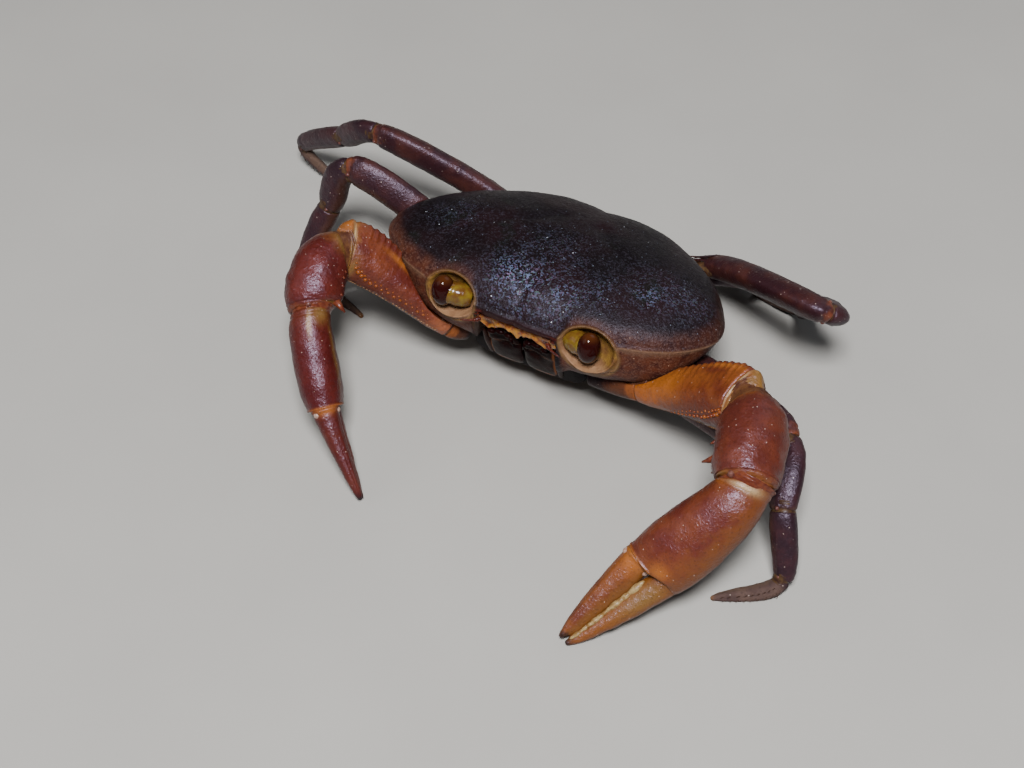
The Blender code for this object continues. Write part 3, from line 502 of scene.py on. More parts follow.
# %% Smooth curve
def smooth_curve(stations, t):
    """Values at t on a smooth curve through stations, each (place, value, value ...)."""
    places = [row[0] for row in stations]
    last = len(stations) - 1
    index = 0
    while index < last - 1 and t > places[index + 1]:
        index += 1
    span = places[index + 1] - places[index]
    u = min(max((t - places[index]) / span, 0.0), 1.0)
    values = []
    for column in range(1, len(stations[0])):
        here, there = stations[index][column], stations[index + 1][column]
        before = stations[max(index - 1, 0)]
        after = stations[min(index + 2, last)]
        slope_here = (there - before[column]) / (places[index + 1] - before[0]) * span
        slope_there = (after[column] - here) / (after[0] - places[index]) * span
        if index == 0:
            slope_here = there - here
        if index == last - 1:
            slope_there = there - here
        values.append(
            here * (2 * u**3 - 3 * u**2 + 1)
            + slope_here * (u**3 - 2 * u**2 + u)
            + there * (3 * u**2 - 2 * u**3)
            + slope_there * (u**3 - u**2)
        )
    return values


def soft_step(low, high, value):
    """0 at low, 1 at high and smooth between them."""
    share = min(max((value - low) / (high - low), 0.0), 1.0)
    return share * share * (3.0 - 2.0 * share)


def hump(distance, width):
    """1 in the middle, falling smoothly to nothing a few widths away."""
    return math.exp(-((distance / width) ** 2))


def signed_power(value, power):
    """A power that keeps the sign."""
    return math.copysign(abs(value) ** power, value)


def mirrored(point, side):
    """A point of the left side on the side that is meant, 1 for left and -1 for right."""
    return Vector((point.x * side, point.y, point.z))


print("half way between 0 and 1:", smooth_curve(((0.0, 0.0), (1.0, 1.0)), 0.5))

# %% [markdown]
# ## The shell's dome
# A crab's shell is one smooth dome with a sharp edge all round and flanks that run in below it.
# It could be cut from a box and smoothed, but the outline would drift.  Here a cube is cut into
# a fine grid and blown up to a ball, which has no poles, and each point of the ball is sent to
# the shell's surface in the same direction.

# %% Shell sizes
SHELL_CENTRE = Vector((0.0, 0.3, 15.4))
SHELL_PITCH = math.radians(11.0)
SHELL_DOME = 5.6
SHELL_BACK_FALL = 0.35
SHELL_DEPTH = 8.6
DOME_POWERS = (0.8, 0.95)
WALL_FULLNESS = (1.8, 0.55)
SHELL_OUTLINE = (
    (0.0, -14.3),
    (6.6, -14.1),
    (14.6, -12.7),
    (21.2, -9.0),
    (24.2, -4.0),
    (22.0, 2.9),
    (15.5, 9.9),
    (9.0, 13.8),
    (0.0, 14.2),
)
UNDERSIDE_AT_MIDDLE = 9.9
UNDERSIDE_SLOPE = 0.07
outline_stations = [
    (math.atan2(along, across), math.hypot(across, along)) for across, along in SHELL_OUTLINE
]


def outline_reach(azimuth):
    """Distance from the shell's middle to its edge in a direction."""
    return smooth_curve(outline_stations, math.atan2(math.sin(azimuth), abs(math.cos(azimuth))))[0]


def shell_point(direction):
    """The shell's surface in a direction from its middle, in the shell's own tilted frame."""
    azimuth = math.atan2(direction.y, direction.x)
    latitude = math.asin(max(-1.0, min(1.0, direction.z)))
    reach = outline_reach(azimuth)
    if latitude >= 0.0:
        spread = max(math.cos(latitude), 0.0) ** DOME_POWERS[0]
        dome = SHELL_DOME * (1.0 - SHELL_BACK_FALL * max(0.0, math.sin(azimuth)) * spread)
        height = dome * math.sin(latitude) ** DOME_POWERS[1]
    else:
        front = soft_step(0.0, 1.0, 0.25 - 1.5 * math.sin(azimuth))
        fullness = WALL_FULLNESS[0] + (WALL_FULLNESS[1] - WALL_FULLNESS[0]) * front
        spread = max(math.cos(latitude), 0.0) ** fullness
        height = -SHELL_DEPTH * math.sin(-latitude) ** fullness
    return Vector((math.cos(azimuth) * reach * spread, math.sin(azimuth) * reach * spread, height))


def from_shell(local):
    """From the shell's tilted frame to the crab's."""
    return SHELL_CENTRE + Matrix.Rotation(-SHELL_PITCH, 3, "X") @ local


def ball(cuts):
    """A cube cut into a grid and blown up to a ball of radius 1."""
    bm = bmesh.new()
    bmesh.ops.create_cube(bm, size=2.0)
    bmesh.ops.subdivide_edges(bm, edges=bm.edges[:], cuts=cuts, use_grid_fill=True)
    for vert in bm.verts:
        vert.co = Vector([math.tan(value * math.pi / 4.0) for value in vert.co]).normalized()
    return bm


print("shell is", 2 * max(across for across, along in SHELL_OUTLINE), "mm wide")

# %% [markdown]
# ## Sockets for the eyes
# Each eye lies in an oval socket with a smooth tan lip.  A Boolean cut leaves a hard rim, while
# here the rim is round, so the dome's own points are pushed into the socket: the grid is cut finer
# round each socket first, then points inside the oval sink onto its floor and those just outside
# rise into the lip.

# %% Socket sizes and the push
ORBIT_CENTRE = Vector((10.1, -14.1, 17.4))
ORBIT_SIZE = Vector((3.8, 2.9, 3.1))
ORBIT_TURN = Matrix.Rotation(math.radians(-38.0), 3, "X")
LIP_AT = 1.05
LIP_WIDTH = 0.065
LIP_HEIGHT = 0.26
WALL_FROM, WALL_TO = 1.0, 0.87
LEAN = 0.4


def leaned(point, side):
    """The crab leans a little to its left, and its face with it."""
    return mirrored(point, side) + Vector((LEAN, 0.0, -LEAN * side))


def orbit_place(point, side):
    """A point in a socket's frame, with the share of the way from its middle to its edge."""
    unleaned = mirrored(point - Vector((LEAN, 0.0, -LEAN * side)), side)
    local = ORBIT_TURN.inverted() @ (unleaned - ORBIT_CENTRE)
    return local, math.hypot(local.x / ORBIT_SIZE.x, local.z / ORBIT_SIZE.z)


def lip_strength(local, reach):
    """The lip round the socket, which fades at the inner lower corner where the feeler comes out."""
    corner = math.atan2(local.z, local.x) - math.radians(-150.0)
    corner = math.atan2(math.sin(corner), math.cos(corner))
    return hump(reach - LIP_AT, LIP_WIDTH) * (1.0 - 0.6 * hump(corner, 0.35))


def push_socket(point, side):
    """Where a point of the dome goes once the socket is there."""
    local, reach = orbit_place(point, side)
    if reach > 1.6 or local.y > ORBIT_SIZE.y:
        return point
    wall = soft_step(WALL_FROM, WALL_TO, reach)
    floor = ORBIT_SIZE.y * math.sqrt(max(1.0 - reach * reach, 0.0))
    local.y += (floor - local.y) * wall - LIP_HEIGHT * lip_strength(local, reach)
    return leaned(ORBIT_CENTRE + ORBIT_TURN @ local, side)


print("socket is", 2 * ORBIT_SIZE.x, "by", 2 * ORBIT_SIZE.z, "mm inside its lip")

# %% [markdown]
# ## Relief of the shell
# The photo's shell is smooth, yet not plain: shallow furrows mark off the stomach from the gills,
# two low swellings stand behind the brow, and a fine crest runs round the edge.  They are only
# a few tenths of a millimetre deep, so they are added along the surface's own normal.

# %% Shell relief
FURROW_DEPTH = 0.28
CREST_HEIGHT = 0.22
BROW_HALF_WIDTH = 5.4
BROW_EDGE_HALF_WIDTH = 6.6
BROW_DROP = 0.55
BROW_FORWARD = 0.25
FURROW_PATH = ((3.2, 4.5), (5.2, 1.0), (8.6, -1.2), (12.0, -4.6), (14.8, -8.0))


def shell_relief(local, latitude, azimuth):
    """Height of the relief at a point of the shell, in mm."""
    across, along = abs(local.x), local.y
    height = 0.07 * noise.noise(local * 0.35) + 0.03 * noise.noise(local * 1.1)
    front = soft_step(0.2, 0.9, -math.sin(azimuth))
    height += CREST_HEIGHT * hump(latitude - 0.03, 0.06) * soft_step(-0.5, 0.3, -math.sin(azimuth))
    if latitude > 0.0:
        path = [(Vector((across, along)) - Vector(spot)).length for spot in dense_furrow]
        height -= FURROW_DEPTH * hump(min(path), 1.0) * soft_step(0.0, 0.25, latitude)
        height -= 0.22 * hump(across, 0.5) * hump(along + 11.5, 2.6)
        height += 0.20 * hump(across - 2.9, 1.6) * hump(along + 11.0, 1.3)
        height -= 0.20 * hump(across - 2.2, 0.6) * hump(along - 3.5, 2.2)
    height += 0.20 * front * hump(latitude - 0.02, 0.04) * soft_step(6.8, 6.2, across)
    return height


def lower_brow(point):
    """The brow between the sockets is turned down and stands a little forward."""
    across = abs(point.x - LEAN)
    share = soft_step(BROW_EDGE_HALF_WIDTH + 0.5, BROW_EDGE_HALF_WIDTH - 0.5, across)
    share *= soft_step(-10.8, -13.3, point.y)
    tilt = -0.045 * (point.x - LEAN)
    return point + Vector((0.0, -BROW_FORWARD, tilt - BROW_DROP)) * share


dense_furrow = []
for first, second in zip(FURROW_PATH, FURROW_PATH[1:]):
    for part in range(6):
        dense_furrow.append(
            (first[0] + (second[0] - first[0]) * part / 6.0, first[1] + (second[1] - first[1]) * part / 6.0)
        )
print("furrow points:", len(dense_furrow))

# %% [markdown]
# ## Build the shell
# The mouth and the room under the brow are square recesses with clean edges, so these two are
# cut with a Boolean after the sockets are pushed in.  Last, each point is told what it belongs to,
# which the finish reads.

# %% Shell
MOUTH_HALF_WIDTH = 5.9
MOUTH_TOP = 16.4
MOUTH_BACK = -10.4
BROW_UNDERSIDE = 17.15
BROW_BACK = -13.0
FAR_AHEAD = -30.0
SHELL_CUTS = 67
FINER_ROUNDS = 2
FINER_WITHIN = 1.35


def box(low, high):
    """A block between two corners."""
    bm = bmesh.new()
    bmesh.ops.create_cube(bm, size=1.0)
    for vert in bm.verts:
        vert.co = Vector([low[axis] if vert.co[axis] < 0.0 else high[axis] for axis in range(3)])
    return bm


def cut_flat(bm, point, normal):
    """Cut away what is on the normal's side of a plane and close the cut."""
    geometry = bm.verts[:] + bm.edges[:] + bm.faces[:]
    cut = bmesh.ops.bisect_plane(
        bm, geom=geometry, dist=1e-5, plane_co=point, plane_no=normal, clear_outer=True
    )
    rim = [item for item in cut["geom_cut"] if isinstance(item, bmesh.types.BMEdge)]
    bmesh.ops.holes_fill(bm, edges=rim, sides=0)


def cut_with(bm, cutters):
    """Cut closed meshes from another with one Boolean, and give back the result."""
    group = bpy.data.collections.new("cutters")
    helpers = []
    for index, source in enumerate([bm, *cutters]):
        bmesh.ops.recalc_face_normals(source, faces=source.faces[:])
        mesh = bpy.data.meshes.new("helper")
        source.to_mesh(mesh)
        source.free()
        helpers.append(bpy.data.objects.new("helper", mesh))
        if index:
            group.objects.link(helpers[index])
    bpy.context.scene.collection.objects.link(helpers[0])
    boolean = helpers[0].modifiers.new("cut", "BOOLEAN")
    boolean.operand_type = "COLLECTION"
    boolean.collection = group
    boolean.solver = "EXACT"
    shown = helpers[0].evaluated_get(bpy.context.evaluated_depsgraph_get())
    result = bmesh.new()
    result.from_mesh(shown.to_mesh())
    for helper in helpers:
        bpy.data.objects.remove(helper)
    bpy.data.collections.remove(group)
    return result


bm = ball(SHELL_CUTS)
for _ in range(FINER_ROUNDS):
    near = set()
    for vert in bm.verts:
        point = from_shell(shell_point(vert.co))
        if min(orbit_place(point, 1)[1], orbit_place(point, -1)[1]) < FINER_WITHIN and vert.co.y < 0.0:
            near.add(vert)
    fine = [edge for edge in bm.edges if edge.verts[0] in near and edge.verts[1] in near]
    bmesh.ops.subdivide_edges(bm, edges=fine, cuts=1, use_grid_fill=True)
    for vert in bm.verts:
        vert.co.normalize()

turns = {}
for vert in bm.verts:
    turns[vert] = (math.atan2(vert.co.y, vert.co.x), math.asin(max(-1.0, min(1.0, vert.co.z))))
    vert.co = shell_point(vert.co)
bm.normal_update()
lifted = []
for vert in bm.verts:
    azimuth, latitude = turns[vert]
    lifted.append(vert.co + vert.normal * shell_relief(vert.co, latitude, azimuth))
for vert, place in zip(bm.verts, lifted):
    vert.co = lower_brow(from_shell(place))
for vert in bm.verts:
    vert.co = push_socket(vert.co, 1 if vert.co.x > 0.0 else -1)
cut_flat(bm, Vector((0.0, 0.0, UNDERSIDE_AT_MIDDLE)), Vector((0.0, -UNDERSIDE_SLOPE, -1.0)).normalized())
half = MOUTH_HALF_WIDTH + GAP
bm = cut_with(
    bm,
    [
        box((-half, FAR_AHEAD, 0.0), (half, MOUTH_BACK, MOUTH_TOP)),
        box((-BROW_HALF_WIDTH, FAR_AHEAD, MOUTH_TOP - 1.0), (BROW_HALF_WIDTH, BROW_BACK, BROW_UNDERSIDE)),
    ],
)
shell_tree = BVHTree.FromBMesh(bm)
print("shell faces:", len(bm.faces))

# %% [markdown]
# ## Tell the shell what is where
# A number between 0 and 1 at each point says how much it belongs to the lip, the socket, the
# flank, the brow, the painted shadow line under the brow or the patches of painted highlight.
# They follow from the point's place.

# %% Shell markings
# Places of the painted highlight on the shell: middle, width and strength.
PAINTED_SHEEN_SPOTS = (
    ((-0.6, -11.6), 2.5, 1.0),
    ((-3.8, -11.0), 2.2, 0.60),
    ((4.8, -11.3), 2.4, 0.60),
    ((9.5, -9.0), 2.2, 0.30),
    ((14.8, -5.9), 1.8, 0.50),
    ((0.0, -6.0), 5.5, 0.22),
    ((-15.0, -3.0), 4.0, 0.15),
    ((15.0, -4.0), 4.5, 0.18),
    ((20.0, -3.0), 2.5, 0.25),
)
names = ("lip", "socket", "low", "flank", "ridge", "brow", "seam_shade", "painted_sheen")
layer = {name: bm.verts.layers.float.new(name) for name in names}
untilt = Matrix.Rotation(SHELL_PITCH, 3, "X")
for vert in bm.verts:
    side = 1 if vert.co.x > 0.0 else -1
    local, reach = orbit_place(vert.co, side)
    ahead = soft_step(-6.0, -9.0, vert.co.y)
    corner = math.atan2(local.z, local.x)
    thin = 0.55 + 0.45 * soft_step(0.4, -0.3, math.sin(corner))
    vert[layer["lip"]] = ahead * thin * hump(reach - 1.045, 0.055)
    vert[layer["socket"]] = ahead * soft_step(1.04, 0.98, reach)
    vert[layer["low"]] = soft_step(0.3, -1.2, local.z + 0.35 * local.x)
    flat = untilt @ (vert.co - SHELL_CENTRE)
    azimuth = math.atan2(flat.y, flat.x)
    inward = outline_reach(azimuth) - math.hypot(flat.x, flat.y)
    front = soft_step(9.0, -4.0, flat.y)
    near_edge = soft_step(2.0, 0.2, inward) * (0.65 - 0.15 * side)
    near_edge *= soft_step(7.5, 10.0, abs(flat.x)) * front
    round_eye = 0.45 * ahead * soft_step(1.6, 1.15, reach) * soft_step(6.4, 8.0, abs(vert.co.x))
    below = soft_step(0.30, -0.4, flat.z)
    in_brow = soft_step(6.9, 6.2, abs(vert.co.x - LEAN)) * ahead
    vert[layer["flank"]] = max(below * (1.0 - in_brow), near_edge, round_eye)
    outer = soft_step(13.2, 14.6, abs(flat.x)) * soft_step(-3.0, -6.0, flat.y)
    vert[layer["ridge"]] = 0.55 * outer * hump(flat.z - 0.12, 0.16)
    under_brow = soft_step(0.0, -0.35, flat.z) * soft_step(-3.2, -2.6, flat.z)
    vert[layer["brow"]] = in_brow * under_brow
    # A thin painted shadow line along the brow's underside.
    seam_shade = hump(vert.co.z - BROW_UNDERSIDE - 0.12, 0.14) * soft_step(-12.5, -13.2, vert.co.y)
    vert[layer["seam_shade"]] = 0.8 * in_brow * seam_shade
    # Strength of the painted highlight at this point.
    painted_shine = 0.0
    for (x, y), width, strength in PAINTED_SHEEN_SPOTS:
        painted_shine += strength * hump(math.hypot(flat.x - x, flat.y - y), width)
    vert[layer["painted_sheen"]] = min(painted_shine, 1.0) * soft_step(-0.3, 0.4, flat.z)
shell = finish_piece(bm, "shell", shell_finish, "carapace")
print("shell points:", len(shell.data.vertices))

# %% [markdown]
# ## Tubes bent along a curve
# Stalks, feelers and all the pieces of a limb are tubes whose oval section changes on the way.
# A curve object with a bevel gives round tubes only, so a straight closed cylinder is cut into
# rings and each point is moved to its place on the bent tube.  Rings are packed towards both ends,
# where the edge is rounded off.

# %% Straight tube and bent tube
EDGE_LENGTH = 0.42
EDGE_DEPTH = 0.20


def straight_tube(around, rings):
    """A closed straight cylinder along Z from 0 to 1, cut across into rings."""
    bm = bmesh.new()
    bmesh.ops.create_cone(bm, cap_ends=True, segments=around, radius1=1.0, radius2=1.0, depth=1.0)
    bmesh.ops.translate(bm, verts=bm.verts[:], vec=(0.0, 0.0, 0.5))
    upright = [edge for edge in bm.edges if abs(edge.verts[0].co.z - edge.verts[1].co.z) > 0.5]
    bmesh.ops.subdivide_edges(bm, edges=upright, cuts=rings - 2)
    return bm


def bent_tube(start, end, start_way, end_way, pull, sections, across, squareness=0.9, keel=0.0):
    """A function that gives the place on a bent tube from t along it and an angle round it."""
    length = (end - start).length
    reach = length * pull

    def place(t, angle, proud=0.0):
        centre = (
            start * (2 * t**3 - 3 * t**2 + 1)
            + start_way * reach * (t**3 - 2 * t**2 + t)
            + end * (3 * t**2 - 2 * t**3)
            + end_way * reach * (t**3 - t**2)
        )
        way = (
            start * (6 * t**2 - 6 * t)
            + start_way * reach * (3 * t**2 - 4 * t + 1)
            + end * (6 * t - 6 * t**2)
            + end_way * reach * (3 * t**2 - 2 * t)
        ).normalized()
        side = (across - way * across.dot(way)).normalized()
        up = way.cross(side)
        height, thickness = smooth_curve(sections, t)
        near = min(min(t, 1.0 - t) * length / EDGE_LENGTH, 1.0)
        sunk = EDGE_DEPTH * (1.0 - math.sqrt(1.0 - (1.0 - near) ** 2))
        sunk = min(sunk, 0.8 * height, 0.8 * thickness) - proud
        x = signed_power(math.cos(angle), squareness) * (thickness - sunk)
        y = signed_power(math.sin(angle), squareness) * (height - sunk)
        x *= 1.0 - keel * max(math.sin(angle), 0.0)
        return centre + side * x + up * y

    return place


def end_spacing(share):
    """Rings gather at both ends, where the edge is rounded off."""
    return 0.5 - 0.5 * math.cos(math.pi * min(max(share, 0.0), 1.0))


def lay(bm, place, relief=None, spacing=end_spacing, patches=()):
    """Lay a straight tube on a bent one, note each point's place and patches, and add the relief."""
    bm.verts.layers.float.new("along")
    bm.verts.layers.float.new("height")
    for kind in sorted({patch[0] for patch in patches}):
        bm.verts.layers.float.new(kind)
    shares = dict(bm.verts.layers.float.items())
    along, height = bm.verts.layers.float["along"], bm.verts.layers.float["height"]
    spots = []
    for vert in bm.verts:
        t = spacing(vert.co.z)
        angle = math.atan2(vert.co.y, vert.co.x)
        vert.co = place(t, angle)
        vert[along], vert[height] = t, math.sin(angle)
        spots.append((vert, t, angle))
    for kind, at, turn, length, width in patches:
        for vert, t, angle in spots:
            off = angle - math.radians(turn)
            off = math.atan2(math.sin(off), math.cos(off)) / math.radians(width)
            vert[shares[kind]] = max(vert[shares[kind]], hump(math.hypot((t - at) / length, off), 1.0))
    if relief:
        bm.normal_update()
        moved = [vert.co + vert.normal * relief(t, angle, vert.co) for vert, t, angle in spots]
        for (vert, t, angle), spot in zip(spots, moved):
            vert.co = spot


def add_ball(bm, centre, half, turn=None, subdivisions=2):
    """Add an oval ball to a mesh."""
    made = bmesh.ops.create_icosphere(bm, subdivisions=subdivisions, radius=1.0)["verts"]
    turn = turn or Matrix.Identity(3)
    for vert in made:
        vert.co = centre + turn @ Vector([vert.co[axis] * half[axis] for axis in range(3)])


def add_spine(bm, root, tip, radius, tip_radius=0.04, around=8):
    """Add a small cone from root to tip to a mesh."""
    way = tip - root
    turn = way.to_track_quat("Z", "Y").to_matrix().to_4x4()
    bmesh.ops.create_cone(
        bm,
        cap_ends=True,
        segments=around,
        radius1=radius,
        radius2=tip_radius,
        depth=way.length,
        matrix=Matrix.Translation((root + tip) / 2.0) @ turn,
    )


print("tubes ready")

# %% [markdown]
# ## Eyes
# The eye sits across its socket: a short olive stalk from the inner wall, with the cornea as an
# oval dark ball on its end.  In life the two are one, but they differ so much in gloss that two
# pieces are simpler than one with a painted border.  The cornea is painted amber towards its top.

# %% Eyes
EYE_CENTRE = Vector((10.65, -13.7, 17.8))
EYE_HALF = (1.55, 1.7, 2.3)
EYE_LEAN = 0.3
EYE_CUTS = 24
STALK_ROOT = Vector((7.0, -12.5, 17.1))
STALK_SECTIONS = ((0.0, 1.1, 1.2), (0.3, 1.45, 1.5), (0.8, 1.5, 1.55), (1.0, 1.3, 1.3))


def stalk_relief(t, angle, spot):
    """Soft lumps with a waist behind the cornea."""
    return 0.06 * noise.noise(spot * 1.3) - 0.12 * hump(t - 0.66, 0.06)


for side, where in ((1, "left"), (-1, "right")):
    bm = ball(EYE_CUTS)
    top = bm.verts.layers.float.new("top")
    drop = Vector((0.0, 0.0, EYE_LEAN * side))
    centre = mirrored(EYE_CENTRE, side) - drop
    for vert in bm.verts:
        vert[top] = soft_step(0.45, 1.0, vert.co.z + 0.35 * vert.co.y)
        vert.co = centre + Vector([vert.co[axis] * EYE_HALF[axis] for axis in range(3)])
    finish_piece(bm, f"cornea_{where}", eye_finish, f"eye_{where}")
    root = mirrored(STALK_ROOT, side) - drop
    way = (centre - root).normalized()
    bm = straight_tube(28, 20)
    lay(bm, bent_tube(root, centre, way, way, 1.0, STALK_SECTIONS, Vector((0.0, 0.0, 1.0))), stalk_relief)
    finish_piece(bm, f"eyestalk_{where}", stalk_finish)
print("eye is", 2 * EYE_HALF[2], "mm high")

# %% [markdown]
# ## The bar above the mouth
# Under the brow lies the epistome, a wet orange bar, with a painted shadow along its top where the
# brow overhangs it.  Its lower edge is jagged: one long tooth in the middle, a scallop over each
# mouth plate, and a loop with a pit at each end, painted dark as shade.  A box cut into a fine grid
# holds this profile once its lower points are drawn down to it.

# %% Epistome
EPISTOME_HEIGHT = 2.5
EPISTOME_TOP = MOUTH_TOP - GAP
BAR_CUTS_ACROSS = 110
BAR_CUTS_DOWN = 14


def bar_bottom(x):
    """How far down the bar reaches below its top, in mm."""
    across = abs(x)
    tooth = 1.0 * hump(across, 0.5) + 0.25 * hump(across - 1.15, 0.25)
    loop = 0.95 * hump(across - 4.3, 1.0) + 0.3 * hump(across - 3.2, 0.3)
    jag = 0.12 * noise.noise(Vector((x * 2.0, 0.0, 0.0)))
    return min(1.5 + tooth + loop + jag, EPISTOME_HEIGHT)


bm = box((-MOUTH_HALF_WIDTH, EPISTOME_FRONT, 0.0), (MOUTH_HALF_WIDTH, MOUTH_BACK - GAP, 1.0))
lengthwise = [edge for edge in bm.edges if abs(edge.verts[0].co.x - edge.verts[1].co.x) > 1.0]
bmesh.ops.subdivide_edges(bm, edges=lengthwise, cuts=BAR_CUTS_ACROSS, use_grid_fill=True)
upright = [edge for edge in bm.edges if abs(edge.verts[0].co.z - edge.verts[1].co.z) > 0.5]
bmesh.ops.subdivide_edges(bm, edges=upright, cuts=BAR_CUTS_DOWN, use_grid_fill=True)
upper = bm.verts.layers.float.new("upper")
pit = bm.verts.layers.float.new("pit")
for vert in bm.verts:
    share = vert.co.z
    # Painted shadow on the top strip under the brow, and painted shade in the pits.
    vert[upper] = soft_step(0.80, 0.95, share)
    vert[pit] = hump(math.hypot((abs(vert.co.x) - 4.2) / 0.75, (share - 0.45) / 0.26), 1.0)
    if vert.co.y < EPISTOME_FRONT + GAP:
        swell = 0.45 * math.sqrt(max(1.0 - (2.0 * share - 1.0) ** 2, 0.0))
        ridge = 0.10 * math.sin(abs(vert.co.x) * 4.2) * hump(share - 0.4, 0.3)
        vert.co.y += 0.2 - swell + ridge + 0.5 * vert[pit] + 0.09 * noise.noise(vert.co * 1.7)
    vert.co.z = EPISTOME_TOP - (1.0 - share) * bar_bottom(vert.co.x)
finish_piece(bm, "mouth_bar", bar_finish, "epistome")
print("bar is", 2 * MOUTH_HALF_WIDTH, "mm wide")

# %% [markdown]
# ## Mouth plates
# The outer maxillipeds close the mouth like a pair of doors.  Each is a broad inner plate with
# a small squarish one on top of its outer corner, a slim whip beside it, and a jointed feeler
# tucked in at the top.  They are nearly black with an orange rim.  A ball squared off into
# a plate has room for the furrow between the two plates and gives a clean rim.

# %% Mouth plates
PLATE_BOTTOM = 5.9
PLATE_FRONT = (-13.1, -10.7)
PLATE_THICKNESS = (2.2, 0.8)
PLATE_NARROWING = 0.3
PLATE_CORNERS = (0.45, 0.7, 0.45)
WHIP_SECTIONS = ((0.0, 0.3, 0.35), (0.5, 0.42, 0.5), (1.0, 0.2, 0.25))
PALP_JOINTS = (
    (4.0, 0.25, (0.62, 0.40, 0.38)),
    (2.7, -0.15, (0.68, 0.38, 0.36)),
    (1.5, 0.05, (0.55, 0.36, 0.34)),
)
PLATE_TOP = EPISTOME_TOP - EPISTOME_HEIGHT - GAP
PLATE_RISE = 1.0
PLATE_CUTS = 34
WHIP_WIDTH = 0.7


def plate_place(x, y, z):
    """From a ball's point to the plate, with the shares across and down."""
    x, y, z = (signed_power(value, power) for value, power in zip((x, y, z), PLATE_CORNERS))
    fall = (1.0 - z) / 2.0
    width = MOUTH_HALF_WIDTH - GAP / 2.0 - PLATE_NARROWING * fall - WHIP_WIDTH
    across = GAP / 2.0 + width * (x + 1.0) / 2.0
    top = PLATE_TOP + PLATE_RISE * hump((x + 1.0) / 2.0 - 0.42, 0.27) * (1.0 - fall)
    front = PLATE_FRONT[0] + (PLATE_FRONT[1] - PLATE_FRONT[0]) * fall
    thickness = PLATE_THICKNESS[0] + (PLATE_THICKNESS[1] - PLATE_THICKNESS[0]) * fall
    depth = front + thickness * (y + 1.0) / 2.0
    return Vector((across, depth, top + (PLATE_BOTTOM - top) * fall)), (x + 1.0) / 2.0, fall


for side, where in ((1, "left"), (-1, "right")):
    bm = ball(PLATE_CUTS)
    rim = bm.verts.layers.float.new("rim")
    for vert in bm.verts:
        ahead = soft_step(0.1, -0.6, vert.co.y)
        spot, share, fall = plate_place(*vert.co)
        split = fall - 0.36 - 0.10 * (share - 0.5)
        furrow = hump(split, 0.022)
        groove = hump(share - 0.42 - 0.1 * fall, 0.03) * soft_step(0.40, 0.48, fall)
        groove *= soft_step(0.97, 0.85, fall)
        dish = 0.25 * hump(share - 0.55, 0.3) * hump(fall - 0.18, 0.12)
        spot.y += ahead * (0.35 * furrow + 0.22 * groove + dish + 0.05 * noise.noise(spot * 1.1))
        border = max(hump(share - 0.95, 0.032), hump(fall - 0.95, 0.028) * soft_step(0.1, 0.5, share))
        vert[rim] = ahead * max(border, 0.25 * hump(split + 0.03, 0.015))
        vert.co = Vector((spot.x * side, spot.y, spot.z))
    finish_piece(bm, f"mouth_plate_{where}", plate_finish, f"maxilliped_{where}")

    # The slim whip beside the plate, and the feeler folded over the plate's top
    bm = straight_tube(16, 24)
    outer = MOUTH_HALF_WIDTH - 0.4
    low = Vector((side * (outer - PLATE_NARROWING), PLATE_FRONT[1] + 0.4, PLATE_BOTTOM + 0.4))
    high = Vector((side * outer, PLATE_FRONT[0] + 0.9, PLATE_TOP - 1.2))
    way = (high - low).normalized()
    lay(bm, bent_tube(low, high, way, way, 1.0, WHIP_SECTIONS, Vector((1.0, 0.0, 0.0))))
    finish_piece(bm, f"mouth_whip_{where}", whip_finish)
    bm = bmesh.new()
    for across, drop, half in PALP_JOINTS:
        add_ball(bm, Vector((side * across, PLATE_FRONT[0] + 0.15, PLATE_TOP - drop)), half, None, 3)
    root = Vector((side * 1.1, PLATE_FRONT[0] + 0.15, PLATE_TOP - 0.3))
    add_spine(bm, root, root + Vector((side * -0.4, 0.0, -1.3)), 0.26, 0.08, 12)
    finish_piece(bm, f"mouth_palp_{where}", plate_finish)
print("plate is", round(PLATE_TOP - PLATE_BOTTOM, 2), "mm high")

# %% [markdown]
# ## Feelers
# This crab's feelers are tiny.  The outer one leaves the corner of the brow as three stout joints
# and a thin ringed lash, and the inner one folds away in a pit under the brow.  The lash gets its
# rings as relief on the tube.

# %% Feelers
ANTENNA_ROOT = Vector((5.0, -14.1, 15.9))
ANTENNA_LENGTH = 2.6
ANTENNA_SECTIONS = ((0.0, 0.4, 0.4), (0.3, 0.32, 0.32), (0.5, 0.17, 0.17), (1.0, 0.12, 0.12))
ANTENNA_WAYS = (Vector((0.35, -0.95, 0.0)), Vector((0.9, -0.2, -0.1)))
INNER_FEELER = (
    (5.7, -13.85, 0.44),
    (5.0, -13.25, 0.36),
    (4.1, -13.05, 0.40),
    (3.1, -13.05, 0.38),
    (2.2, -13.0, 0.32),
)
INNER_FEELER_HEIGHT = 16.5


def lash_relief(t, angle, spot):
    """Three joints at the root, then fine rings."""
    joints = -0.16 * (hump(t - 0.13, 0.02) + hump(t - 0.27, 0.02) + hump(t - 0.40, 0.02))
    rings = 0.035 * math.sin(t * 150.0) * soft_step(0.42, 0.5, t)
    return joints + rings - 0.12 * soft_step(0.9, 1.0, t)


